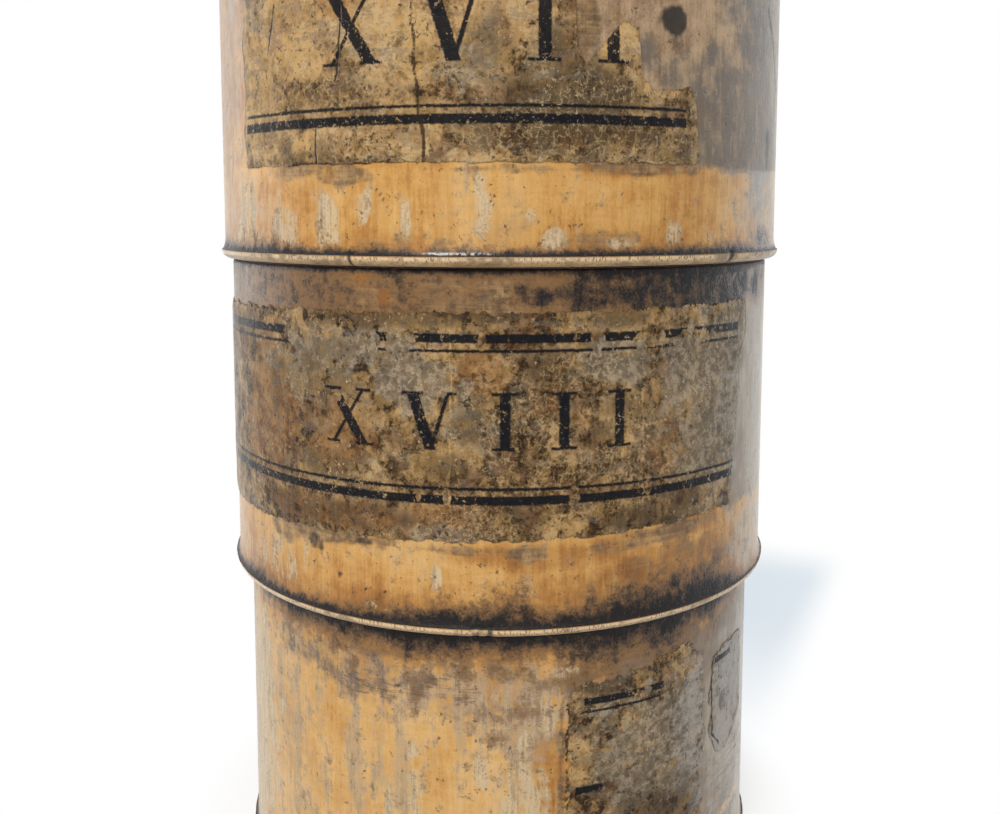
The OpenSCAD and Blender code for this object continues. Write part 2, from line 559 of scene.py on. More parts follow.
class Bench:
    """The node tree of a material or of the world, with one method that adds any node to it."""

    finest: float = 14.0
    spread: float = 2.2
    warp_detail: float = 4.0
    patch_gain: float = 1.5
    patch_level: float = 0.75
    mix_sockets: tuple[int, int, int] = (0, 6, 7)
    mix_result: int = 2

    def __init__(self, owner: bpy.types.Material | bpy.types.World) -> None:
        """Starts with an empty tree."""
        owner.use_nodes = True
        self.owner = owner
        self.tree = owner.node_tree
        self.tree.nodes.clear()

    def add(self, kind: str, settings: dict, inputs: dict, output: int | str = 0) -> Wire:
        """Adds a node.

        Args:
            kind: The node's type.
            settings: Its own settings, set first. The key stops holds a colour ramp's stops.
            inputs: Values or links of its sockets by name or number.
            output: The socket that the result leaves by.

        Returns:
            That socket as a wire.
        """
        node = self.tree.nodes.new(kind)
        for key, value in settings.items():
            if key == "stops":
                self._set_stops(node.color_ramp, value)
            else:
                setattr(node, key, value)
        for key, value in inputs.items():
            if isinstance(value, Wire):
                self.tree.links.new(value.socket, node.inputs[key])
            elif node.inputs[key].type == "RGBA":
                node.inputs[key].default_value = (*value, 1.0)
            else:
                node.inputs[key].default_value = value
        return Wire(self, node.outputs[output] if node.outputs else None)

    @staticmethod
    def _set_stops(ramp: bpy.types.ColorRamp, stops: list[tuple[float, Colour]]) -> None:
        """Gives a colour ramp its stops, in order."""
        while len(ramp.elements) < len(stops):
            ramp.elements.new(1.0)
        for element, (position, colour) in zip(ramp.elements, stops):
            element.position = position
            element.color = (*colour, 1.0)

    def place(self, stretch: Vector = (1.0, 1.0, 1.0)) -> Wire:
        """Object coordinates in millimetres, each axis times a factor."""
        spot = self.add("ShaderNodeTexCoord", {}, {}, "Object")
        factors = tuple(s / METRES for s in stretch)
        return self.add("ShaderNodeVectorMath", {"operation": "MULTIPLY"}, {0: spot, 1: factors})

    def noise(self, place: Wire, scale: float, rough: float) -> Wire:
        """Fractal noise, mostly between -0.5 and 0.5, with octaves down to the finest.

        Args:
            place: Where it is taken.
            scale: Features per millimetre.
            rough: How strong each octave is beside the one before.

        Returns:
            The noise.
        """
        detail = math.log2(self.finest / scale)
        inputs = {"Vector": place, "Scale": scale, "Detail": detail, "Roughness": rough}
        return (self.add("ShaderNodeTexNoise", {}, inputs) - 0.5) * self.spread

    def warp(self, place: Wire, scale: float, reach: float) -> Wire:
        """The place pushed about by colour noise, by up to the reach in millimetres."""
        inputs = {"Vector": place, "Scale": scale, "Detail": self.warp_detail}
        push = self.add("ShaderNodeTexNoise", {}, inputs, "Color")
        terms = {0: push, 1: (reach,) * 3, 2: place}
        return self.add("ShaderNodeVectorMath", {"operation": "MULTIPLY_ADD"}, terms)

    def crackle(self, place: Wire, scale: float) -> Wire:
        """Distance from the nearest edge between random cells, in cells."""
        inputs = {"Vector": place, "Scale": scale}
        return self.add("ShaderNodeTexVoronoi", {"feature": "DISTANCE_TO_EDGE"}, inputs)

    def wear(self, kind: Wear) -> Wire:
        """The mesh attribute of one kind of wear."""
        return self.add("ShaderNodeAttribute", {"attribute_name": kind.value}, {}, "Fac")

    def patch(self, kind: Wear, ragged: Wire, soft: float) -> Wire:
        """Share of one kind of wear once noise has frayed its edge, over a softer or a crisper step."""
        worn_and_lit = self.wear(kind) * self.patch_gain + ragged
        return worn_and_lit.step(self.patch_level - soft, self.patch_level + soft)

    def ramp(self, value: Wire, stops: list[tuple[float, Colour]]) -> Wire:
        """Colour that a value picks from a ramp."""
        return self.add("ShaderNodeValToRGB", {"stops": stops}, {0: value})

    def mix(self, first: Wire | Colour, second: Wire | Colour, share: Wire | float) -> Wire:
        """Colour between two, by the share of the second."""
        inputs = dict(zip(self.mix_sockets, (share, first, second)))
        return self.add("ShaderNodeMix", {"data_type": "RGBA"}, inputs, self.mix_result)

    def finish(self, inputs: dict, relief: list[tuple[Wire, float]]) -> bpy.types.Material:
        """Ends the material in a Principled shader.

        Args:
            inputs: Values or links of the shader's sockets.
            relief: Heights for bump nodes in a row, each with its depth in millimetres.

        Returns:
            The material.
        """
        normal = {}
        for height, depth in relief:
            sockets = {"Height": height, "Distance": depth * METRES, "Strength": 1.0, **normal}
            normal = {"Normal": self.add("ShaderNodeBump", {}, sockets)}
        self.end(self.add("ShaderNodeBsdfPrincipled", {}, {**inputs, **normal}))
        return self.owner

    def end(self, shader: Wire) -> None:
        """Links a shader to the surface of the material or world."""
        kind = "Material" if isinstance(self.owner, bpy.types.Material) else "World"
        self.add(f"ShaderNodeOutput{kind}", {}, {"Surface": shader})


@dataclass(frozen=True)
class AgedVarnish:
    """Golden varnish over turned wood, rubbed pale, streaked, greyed and dirtied, with painted shade, sheen
    and highlight, as the mesh attributes say.
    """

    name: str = "aged_varnish"
    toffee: Colour = (0.22, 0.085, 0.016)
    amber: Colour = (0.40, 0.178, 0.038)
    gold: Colour = (0.545, 0.288, 0.078)
    honey: Colour = (0.625, 0.37, 0.135)
    straw: Colour = (0.66, 0.44, 0.22)
    cream: Colour = (0.57, 0.44, 0.275)
    ash: Colour = (0.26, 0.19, 0.12)
    streak: Colour = (0.435, 0.31, 0.185)
    bare: Colour = (0.46, 0.315, 0.19)
    fawn: Colour = (0.22, 0.145, 0.088)
    # Colour of the haze: a milky bloom of the varnish with painted sheen.
    haze_and_sheen: Colour = (0.46, 0.385, 0.30)
    slate: Colour = (0.125, 0.105, 0.090)
    umber: Colour = (0.085, 0.045, 0.020)
    walnut: Colour = (0.150, 0.088, 0.040)
    bark: Colour = (0.225, 0.138, 0.064)
    ochre: Colour = (0.37, 0.235, 0.105)
    russet: Colour = (0.235, 0.115, 0.036)
    # The bead is painted lighter towards its top and darker below it: painted highlight and painted shade.
    rim: Colour = (0.72, 0.53, 0.32)
    rim_low: Colour = (0.50, 0.325, 0.155)
    rim_dark: Colour = (0.19, 0.12, 0.062)
    # Near black of thick grime, of the painted shade under the seams, and of stains.
    near_black: Colour = (0.006, 0.005, 0.006)
    gloss: float = 0.2
    coat_roughness: float = 0.18
    bloom: float = 0.45
    bloom_roughness: float = 0.3
    grain_depth: float = 0.05
    crust_depth: float = 0.05

    def material(self) -> bpy.types.Material:
        """Builds the finish.

        Returns:
            The material.
        """
        bench = Bench(bpy.data.materials.new(self.name))
        place = bench.place()
        along = bench.place((1.0, 1.0, 0.07))
        ragged = bench.noise(place, 0.55, 0.64)
        blob = bench.noise(bench.warp(place, 0.7, 1.6), 0.42, 0.6)
        mottle = bench.noise(bench.warp(place, 1.3, 0.9), 0.95, 0.62)
        grit = bench.noise(place, 3.6, 0.66)
        fibre = bench.noise(along, 3.0, 0.62)
        strand = bench.noise(along, 0.5, 0.55)
        drip = bench.noise(bench.place((1.0, 1.0, 0.2)), 1.0, 0.66)
        cloud = bench.noise(place, 0.10, 0.6)
        rings = bench.noise(bench.place((0.05, 0.05, 1.0)), 2.4, 0.65)
        inside = bench.wear(Wear.INSIDE)
        fine = fibre * 0.5 + grit * 0.4
        grain = (fine + drip * 0.5).step(-0.1, 0.28)

        # Sound varnish, from brown in the grain to straw, darkened by painted shade and browning towards the
        # rim and seam.
        tone = bench.wear(Wear.TONE) + 0.5 + cloud * 0.45 + blob * 0.25 + strand * 0.25
        tone = tone + drip * 0.15 + fine * 0.28 + rings * 0.05 - bench.wear(Wear.SHADE) * 0.5
        golds = (self.toffee, self.amber, self.gold, self.honey, self.straw)
        colour = bench.ramp(tone, list(zip((0.1, 0.32, 0.5, 0.7, 0.9), golds)))

        # Weathered patches: pale streaks, dark mottle, grey and haze; grey and haze on the sides are partly
        # painted sheen.
        streak = bench.wear(Wear.STREAK) - 0.5 + strand * 1.4 + drip * 0.9 + ragged * 0.7 + fine * 0.25
        streak = streak.step(-0.15, 0.4)
        colour = bench.mix(colour, bench.mix(self.streak, self.ash, grain * 0.5), streak * 0.85)
        pale = bench.patch(Wear.PALE, drip * 1.1 + ragged * 0.9 + fine * 0.35, 0.3)
        colour = bench.mix(colour, bench.mix(self.cream, self.ash, grain * 0.65), pale * 0.85)
        bare = bench.patch(Wear.BARE, ragged * 0.9 + blob * 0.4 + fine * 0.3, 0.3)
        dry = (blob * 0.9 + cloud * 0.6 + fine * 0.6 + drip * 0.3).step(-0.5, 0.48)
        colour = bench.mix(colour, bench.mix(self.bare, self.fawn, dry), bare * 0.95)
        deep = bench.patch(Wear.DEEP, blob * 1.1 + ragged * 0.6 + drip * 0.6 + fine * 0.3, 0.42)
        depth = 0.5 + mottle * 0.9 + blob * 0.5 + drip * 0.5 + fine * 0.4 + rings * 0.5
        browns = (self.umber, self.walnut, self.bark, self.ochre)
        shade = bench.ramp(depth, list(zip((0.1, 0.4, 0.62, 0.92), browns)))
        colour = bench.mix(colour, shade, deep * 0.92)
        grey = bench.patch(Wear.GREY, blob * 0.8 + ragged * 0.5 + drip * 0.3 + fine * 0.2, 0.55)
        smoke = (blob * 0.8 + drip * 0.5 + fine * 0.6).step(-0.5, 0.25)
        colour = bench.mix(colour, bench.mix(self.ash, self.slate, smoke), grey * 0.9)
        haze_and_sheen_veil = bench.patch(Wear.HAZE_AND_SHEEN, blob * 0.8 + drip * 0.8 + fine * 0.4, 0.5)
        thin = (blob * 0.8 + strand * 0.5 + fine * 0.7 + cloud * 0.4).step(-0.1, 0.6)
        colour = bench.mix(colour, bench.mix(self.haze_and_sheen, self.fawn, thin), haze_and_sheen_veil * 0.8)
        unvarnished = bench.mix(self.bare, self.fawn, (cloud + fine * 0.8).step(-0.3, 0.6))
        colour = bench.mix(colour, unvarnished, inside)

        # Bead of the rim, rubbed pale and soiled again in upright ticks; painted highlight on its top,
        # painted shade below.
        worn_and_lit = (bench.wear(Wear.WORN_AND_LIT) + ragged * 0.15 + grit * 0.12).step(0.38, 0.6)
        upper = (bench.wear(Wear.WORN_AND_LIT) + ragged * 0.3 + grit * 0.2).step(0.7, 0.95)
        ticks = bench.noise(bench.place((1.0, 1.0, 0.01)), 5.0, 0.62) + ragged * 0.35
        smudge = (cloud + ragged * 0.8 + strand * 0.4).step(0.05, 0.4)
        soiled = (ticks.step(0.0, 0.3) * 0.85).most(smudge * 0.75)
        edge = bench.mix(self.rim_low, self.rim, upper)
        colour = bench.mix(colour, bench.mix(edge, self.rim_dark, soiled), worn_and_lit)

        # Brown film; grime, with painted shade under the seams, that thickens to near black; specks,
        # scratches and stains.
        film = (cloud * 0.8 + blob * 0.8 + grit * 0.2).step(0.1, 0.6) * (1 - inside)
        colour = bench.mix(colour, self.russet, film * 0.4)
        dirt_and_shade = bench.wear(Wear.GRIME_AND_SHADE) + blob * 0.3 + ragged * 0.3 + mottle * 0.45 + drip * 0.2 + grit * 0.25
        colour = bench.mix(colour, self.russet, dirt_and_shade.step(0.08, 0.46) * 0.8)
        colour = bench.mix(colour, self.umber, dirt_and_shade.step(0.28, 0.72) * 0.9)
        grime_and_shade = dirt_and_shade.step(0.52, 0.95)
        colour = bench.mix(colour, self.near_black, grime_and_shade * 0.97)
        specks = bench.noise(place, 1.3, 0.7).step(0.29, 0.42)
        cuts = (1 - abs(rings).step(0.0, 0.07)) * bench.patch(Wear.SCRATCH, ragged + drip * 0.5 - 0.2, 0.2)
        flaws = specks.most(cuts * 0.8) * (1 - inside * 0.7)
        colour = bench.mix(colour, self.umber, flaws * 0.75)
        stain = bench.patch(Wear.STAIN, ragged * 0.7 + drip * 0.6 + grit * 0.2, 0.55)
        colour = bench.mix(colour, self.near_black, stain * 0.92)

        # Gloss and relief.
        dull = pale.most(bare).most(inside).most(streak)
        rough = 0.44 + dull * 0.14 + grime_and_shade * 0.05 + grit * 0.1
        wet = bench.patch(Wear.GLOSS, grit * 2.4 + ticks * 1.8 - 0.45, 0.3)
        coat = 0.26 * (1 - dull * 0.6) * (1 - grime_and_shade) + wet * 0.9
        grained = fibre * 0.4 + rings * 0.1 + grit * 0.4
        crust = grime_and_shade * (0.6 + mottle * 0.5 + grit * 0.4) - flaws - pale * 0.3
        relief = [(grained, self.grain_depth), (crust, self.crust_depth)]
        sockets = {"Base Color": colour, "Roughness": rough, "Coat Weight": coat}
        constants = {"Coat Roughness": self.coat_roughness, "Specular IOR Level": self.gloss}
        constants |= {"Sheen Weight": self.bloom, "Sheen Roughness": self.bloom_roughness}
        return bench.finish({**sockets, **constants}, relief)


@dataclass(frozen=True)
class FloorWood:
    """Bare turned wood of a floor disc, with grain across it and a brown dusting of spice."""

    name: str = "floor_wood"
    light: Colour = (0.50, 0.36, 0.215)
    dark: Colour = (0.30, 0.185, 0.095)
    dust: Colour = (0.16, 0.080, 0.032)
    grain_depth: float = 0.04

    def material(self) -> bpy.types.Material:
        """Builds the finish.

        Returns:
            The material.
        """
        bench = Bench(bpy.data.materials.new(self.name))
        place = bench.place()
        across = bench.noise(bench.place((1.0, 0.05, 1.0)), 1.6, 0.64)
        cloud = bench.noise(place, 0.09, 0.62)
        grit = bench.noise(place, 2.4, 0.7)
        colour = bench.mix(self.light, self.dark, across.step(-0.3, 0.5))
        colour = bench.mix(colour, self.dust, (cloud + grit * 0.4).step(-0.1, 0.7) * 0.75)
        rough = 0.62 + across * 0.1
        relief = [(across + grit * 0.5, self.grain_depth)]
        return bench.finish({"Base Color": colour, "Roughness": rough}, relief)


@dataclass(frozen=True)
class Rule:
    """A printed line across a label: its height and thickness, its start and end, in millimetres."""

    height: float
    thick: float
    start: float
    end: float


@dataclass(frozen=True)
class Print:
    """What is printed on a label: rules, and a plain Roman numeral in letters with thick and thin strokes."""

    rules: tuple[Rule, ...] = ()
    numeral: str = ""
    middle: float = -2.8
    foot: float = 20.85
    capital: float = 6.2
    gap: float = 2.0
    stem: float = 1.15
    hairline: float = 0.34
    softness: float = 0.1
    legs: Vector = (0.18, 0.5, 0.82)
    contrast: float = 0.36
    slant_thick: float = 1.15
    slant_thin: float = 1.1

    def width(self, letter: str) -> float:
        """Width of a letter between the tips of its serifs."""
        return self.capital * LETTER_WIDTHS[letter]

    def ink(self, across: Wire, up: Wire) -> Wire:
        """Share of ink at each point, before wear.

        Args:
            across: Millimetres round the wall from the front.
            up: Millimetres above the seam.

        Returns:
            0 on bare paper, 1 in ink.
        """
        shapes = []
        for rule in self.rules:
            middle, length = (rule.start + rule.end) / 2, rule.end - rule.start
            shapes.append(self._bar(across, up, middle, rule.height, length, rule.thick))
        widths = [self.width(letter) for letter in self.numeral]
        left = self.middle - (sum(widths) + self.gap * (len(widths) - 1)) / 2
        for letter, width in zip(self.numeral, widths):
            shapes += self._letter(across, up, letter, left, width)
            left += width + self.gap
        total = shapes[0]
        for shape in shapes[1:]:
            total = total.most(shape)
        return total

    def _letter(self, across: Wire, up: Wire, letter: str, left: float, width: float) -> list[Wire]:
        """Strokes of one letter, then its serifs at the head and the foot."""
        at = [left + width * share for share in self.legs]
        thick, thin = self.stem * self.slant_thick, self.stem * self.contrast * self.slant_thin
        head, foot = self.foot + self.capital, self.foot
        if letter == "I":
            strokes = [(at[1], at[1], self.stem)]
            serifs = [(at[1], head, 1.0), (at[1], foot, 1.0)]
        elif letter == "V":
            strokes = [(at[0], at[1], thick), (at[2], at[1], thin)]
            serifs = [(at[0], head, 0.38), (at[2], head, 0.3)]
        else:
            strokes = [(at[0], at[2], thick), (at[2], at[0], thin)]
            serifs = [(at[0], head, 0.36), (at[2], head, 0.3), (at[0], foot, 0.3), (at[2], foot, 0.36)]
        shapes = [self._slant(across, up, *stroke) for stroke in strokes]
        inward = self.hairline / 2
        for x, y, share in serifs:
            height = y - inward if y == head else y + inward
            shapes.append(self._bar(across, up, x, height, width * share, self.hairline))
        return shapes

    def _bar(self, across: Wire, up: Wire, x: float, y: float, wide: float, tall: float) -> Wire:
        """Upright rectangle about x and y: the nearer of its two reaches, with a soft edge."""
        side = wide / 2 - abs(across - x)
        end = tall / 2 - abs(up - y)
        return side.least(end).step(-self.softness, self.softness)

    def _slant(self, across: Wire, up: Wire, top: float, bottom: float, wide: float) -> Wire:
        """Stroke from the foot line to the head line, whose middle moves evenly from bottom to top."""
        lean = (top - bottom) / self.capital
        side = wide / 2 - abs(across - up * lean - (bottom - lean * self.foot))
        end = self.capital / 2 - abs(up - self.foot - self.capital / 2)
        return side.least(end).step(-self.softness, self.softness)


@dataclass(frozen=True)
class AgedPaper:
    """Brown varnished paper, mottled, crazed and flaking, with rubbed and chipped black print, and painted
    sheen near the tower's sides.
    """

    name: str
    printed: Print
    outline: float = 0.3
    fray: float = 0.5
    dark: Colour = (0.028, 0.016, 0.008)
    umber: Colour = (0.095, 0.055, 0.023)
    brown: Colour = (0.205, 0.130, 0.062)
    tan: Colour = (0.345, 0.225, 0.112)
    straw: Colour = (0.47, 0.325, 0.165)
    cream: Colour = (0.52, 0.38, 0.22)
    rust: Colour = (0.24, 0.105, 0.035)
    grey: Colour = (0.165, 0.130, 0.090)
    # Pale greys of the grey and haze patches, which near the sides carry painted sheen.
    haze_and_sheen: Colour = (0.33, 0.27, 0.195)
    haze_and_sheen_veil: Colour = (0.40, 0.37, 0.34)
    amber: Colour = (0.50, 0.30, 0.11)
    ink: Colour = (0.003, 0.0045, 0.008)
    arc_map: str = "arc"
    gloss: float = 0.08
    bloom: float = 0.45
    bloom_roughness: float = 0.3
    paper_depth: float = 0.09
    flake_depth: float = 0.05

    def material(self) -> bpy.types.Material:
        """Builds the finish.

        Returns:
            The material.
        """
        bench = Bench(bpy.data.materials.new(self.name))
        place = bench.place()
        ragged = bench.noise(place, 0.6, 0.66)
        grit = bench.noise(place, 3.2, 0.64)
        cell = bench.noise(bench.warp(place, 1.6, 0.8), 1.1, 0.62)
        blot = bench.noise(bench.warp(place, 0.8, 1.4), 0.42, 0.62)
        cloud = bench.noise(place, 0.13, 0.6)
        drip = bench.noise(bench.place((1.0, 1.0, 0.16)), 1.3, 0.68)
        smear = bench.noise(bench.place((0.2, 0.2, 1.0)), 1.1, 0.68)
        layer = bench.noise(bench.warp(place, 0.5, 2.0), 0.28, 0.7)

        # Mottled paper, with layers of amber, rust, grey and haze; grey and haze near the sides are partly
        # painted sheen.
        light = bench.patch(Wear.LIGHT, ragged * 1.0 + cell * 0.5 + grit * 0.2, 0.22)
        tone = bench.wear(Wear.TONE) + 0.415 + blot * 1.0 + cell * 0.7 + cloud * 0.45
        tone = tone + grit * 0.4 + drip * 0.3 + light * 0.26
        browns = (self.dark, self.umber, self.brown, self.tan, self.cream)
        colour = bench.ramp(tone, list(zip((0.05, 0.28, 0.5, 0.72, 1.0), browns)))
        colour = bench.mix(colour, self.amber, light * 0.4 + (layer + blot * 0.3).step(0.03, 0.13) * 0.32)
        film = (smear * 0.8 - layer + cell * 0.3).step(0.06, 0.2)
        colour = bench.mix(colour, self.grey, film * 0.45)
        colour = bench.mix(colour, self.rust, (drip * 0.6 - layer - cloud * 0.5).step(0.06, 0.3) * 0.3)
        rust = bench.patch(Wear.RUST, ragged * 1.2 + layer * 0.8, 0.25)
        colour = bench.mix(colour, self.rust, rust * 0.42)
        grey = bench.patch(Wear.GREY, ragged + smear * 0.7 + cell * 0.4, 0.28)
        faint = bench.mix(self.grey, self.haze_and_sheen, (cell + grit * 0.5).step(-0.15, 0.3))
        colour = bench.mix(colour, faint, grey * 0.7)
        haze_and_sheen_veil = bench.patch(Wear.HAZE_AND_SHEEN, blot * 0.8 + smear * 0.6 + cell * 0.4, 0.5)
        colour = bench.mix(colour, self.haze_and_sheen_veil, haze_and_sheen_veil * 0.7)
        deep = bench.patch(Wear.DEEP, blot * 1.4 + cell * 0.8 + grit * 0.4, 0.45)
        colour = bench.mix(colour, self.dark, deep * 0.7)

        # Crazed varnish, flecks of bare paper and pits.
        edge = bench.crackle(bench.warp(place, 1.7, 0.7), 1.2) + grit * 0.14
        broken = (grit + ragged + 0.1).step(-0.2, 0.2)
        craze = bench.patch(Wear.CRAZE, bench.noise(place, 0.22, 0.7) + ragged * 0.9, 0.4).most(0.1)
        colour = bench.mix(colour, self.umber, edge.step(0.12, 0.3) * craze * broken * (cell * 1.6 + 0.6))
        frayed = (grit * 1.6 + cell * 0.8 + 0.05).step(-0.2, 0.3)
        colour = bench.mix(colour, self.straw, (1 - edge.step(0.01, 0.15)) * craze * frayed * 0.6)
        flaking = (cloud + ragged).step(-0.15, 0.35)
        flecks = bench.noise(bench.warp(place, 2.0, 0.7), 1.9, 0.7).step(0.2, 0.31) * flaking
        colour = bench.mix(colour, self.cream, flecks * 0.75)
        pitted = (craze * 0.4 - cloud + ragged).step(-0.15, 0.3)
        pits = bench.noise(place, 1.6, 0.72).step(0.13, 0.25) * pitted
        colour = bench.mix(colour, self.dark, pits * 0.72)

        # Worn print, cracks and the torn edge.
        arc = bench.add("ShaderNodeUVMap", {"uv_map": self.arc_map}, {})
        across = bench.add("ShaderNodeSeparateXYZ", {}, {0: arc}, "X")
        wobble = bench.noise(place, 2.4, 0.7) * 0.16
        ink = self.printed.ink(across + wobble, across.beside("Y") + wobble)
        scuff = bench.patch(Wear.SCUFF, ragged * 1.1 + grit * 0.5, 0.1)
        chips = bench.noise(place, 1.7, 0.76).step(0.26, 0.32).most(flecks)
        ink = ink * (1 - scuff) * (1 - chips * 0.9)
        colour = bench.mix(colour, self.ink, ink * 0.97)
        crack = bench.patch(Wear.CRACK, ragged * 1.3 + grit * 0.8, 0.35)
        inward = (1 - bench.wear(Wear.EDGE)) * EDGE_BAND
        rim = (1 - (inward + ragged * 0.3).step(0.1, 0.4)) * self.outline
        colour = bench.mix(colour, bench.mix(self.dark, self.cream, (cloud + drip).step(0.0, 0.3)), rim)
        colour = bench.mix(colour, self.dark, crack * 0.9)

        rough = 0.52 + flecks * 0.2 + grit * 0.12 - ink * 0.08
        flaked = flecks * 0.6 + edge * craze - pits - crack * 2.0
        relief = [(blot * 0.5 + grit * 0.4, self.paper_depth), (flaked, self.flake_depth)]
        whole = (inward + (ragged * 1.6 + cell + grit * 0.5 - 0.3) * self.fray).step(0.0, 0.1)
        sockets = {"Base Color": colour, "Roughness": rough, "Alpha": whole}
        constants = {"Specular IOR Level": self.gloss}
        constants |= {"Sheen Weight": self.bloom, "Sheen Roughness": self.bloom_roughness}
        return bench.finish({**sockets, **constants}, relief)


def run(start: Pair, end: Pair, count: int) -> Array:
    """Even points on a straight run, without its end.

    Args:
        start: Radius and height of the first point.
        end: Radius and height that the run stops short of.
        count: Number of points.

    Returns:
        Array of count radius and height pairs.
    """
    share = np.linspace(0.0, 1.0, count, endpoint=False)[:, None]
    return np.array(start) * (1 - share) + np.array(end) * share


def path(corners: list[Pair], counts: tuple[int, ...]) -> Array:
    """Points on straight runs from corner to corner, without the last corner.

    Args:
        corners: Radius and height of each corner.
        counts: Number of points on each run.

    Returns:
        Array of radius and height pairs.
    """
    return np.concatenate([run(*leg) for leg in zip(corners, corners[1:], counts)])


def sweep(centre: Pair, reach: Pair, angles: Pair, count: int) -> Array:
    """Points on an elliptic arc, without its end.

    Args:
        centre: Radius and height of the ellipse's centre.
        reach: Its half axes along the radius and along the height.
        angles: Degrees at the start and at the end.
        count: Number of points.

    Returns:
        Array of count radius and height pairs.
    """
    a = np.radians(np.linspace(angles[0], angles[1], count, endpoint=False))
    return np.stack([centre[0] + reach[0] * np.cos(a), centre[1] + reach[1] * np.sin(a)], axis=1)


def rim_runs(sizes: TowerSizes, trim: float = 0.0) -> list[tuple[Array, Zone]]:
    """The bead round the foot of a cup or lid, and the cove above it.

    Args:
        sizes: Sizes of the tower.
        trim: How much smaller in radius the piece is turned.

    Returns:
        Two runs of points with their zone.
    """
    rim = sizes.rim_radius - trim
    bead = sweep((rim - sizes.rim_round, sizes.rim_height), (sizes.rim_round, sizes.rim_height), (-90, 0), 12)
    cove = sweep((rim, sizes.wall_start), (sizes.rim_proud, sizes.cove_height), (270, 180), 12)
    return [(bead, Zone.OUTSIDE), (cove, Zone.OUTSIDE)]


def joined(runs: list[tuple[Array, Zone]]) -> tuple[Array, Array, Array]:
    """One section from runs of points.

    Args:
        runs: The runs in order, each with its zone.

    Returns:
        Radii, heights and zones of the points, each as one column.
    """
    points = np.concatenate([p for p, _ in runs])
    zones = np.concatenate([np.full(len(p), int(zone)) for p, zone in runs])
    return points[:, :1], points[:, 1:], zones[:, None]


def grid_faces(rows: int, columns: int, wrap_rows: bool, wrap_columns: bool, first: int = 0) -> Array:
    """Quads of a grid of points, whose front is to the right of the rows' direction.

    Args:
        rows: Number of rows.
        columns: Number of points in a row.
        wrap_rows: Whether the last row joins the first.
        wrap_columns: Whether each row is a closed ring.
        first: Number of the grid's first point.

    Returns:
        Array of quads.
    """
    i = np.arange(rows if wrap_rows else rows - 1)[:, None]
    j = np.arange(columns if wrap_columns else columns - 1)[None, :]
    up, beside = (i + 1) % rows, (j + 1) % columns
    corners = [i * columns + j, i * columns + beside, up * columns + beside, up * columns + j]
    return np.stack(corners, axis=-1).reshape(-1, 4) + first


def around(radius: Array, angle: Array, height: Array) -> Array:
    """Points in space from cylinder coordinates: x = r sin a, y = -r cos a.

    Args:
        radius: Millimetres from the axis.
        angle: Degrees from the front.
        height: Millimetres above the floor.

    Returns:
        Array of points, flattened to one row each.
    """
    radius, angle, height = np.broadcast_arrays(radius, angle, height)
    a = np.radians(angle)
    return np.stack([radius * np.sin(a), -radius * np.cos(a), height], axis=-1).reshape(-1, 3)


@dataclass
class Piece:
    """One finished piece: its mesh data, and the part that it stands for."""

    name: str
    node: str
    body: str
    slot: str
    points: Array
    faces: list
    wear: dict[Wear, Array] = field(default_factory=dict)
    arc: Array | None = None

    def make(self, material: bpy.types.Material) -> bpy.types.Object:
        """Builds the mesh, dresses it and sets it on its body.

        Args:
            material: The finish.

        Returns:
            The new object.
        """
        mesh = bpy.data.meshes.new(self.name)
        mesh.from_pydata((self.points * METRES).tolist(), [], self.faces)
        mesh.polygons.foreach_set("use_smooth", np.ones(len(mesh.polygons), bool))
        mesh.set_sharp_from_angle(angle=SHARP_ANGLE)
        for kind, values in self.wear.items():
            layer = mesh.attributes.new(kind.value, "FLOAT", "POINT")
            layer.data.foreach_set("value", np.ascontiguousarray(values, np.float32).ravel())
        if self.arc is not None:
            corners = np.zeros(len(mesh.loops), np.int32)
            mesh.loops.foreach_get("vertex_index", corners)
            layer = mesh.uv_layers.new(name="arc")
            layer.data.foreach_set("uv", self.arc[corners].astype(np.float32).ravel())
        mesh.materials.append(material)
        mesh.validate()
        obj = bpy.data.objects.new(self.name, mesh)
        bpy.context.scene.collection.objects.link(obj)
        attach(obj, self.body)
        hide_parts(self.node)
        LOG.info("%s: %d faces on %s", self.name, len(mesh.polygons), self.body)
        return obj


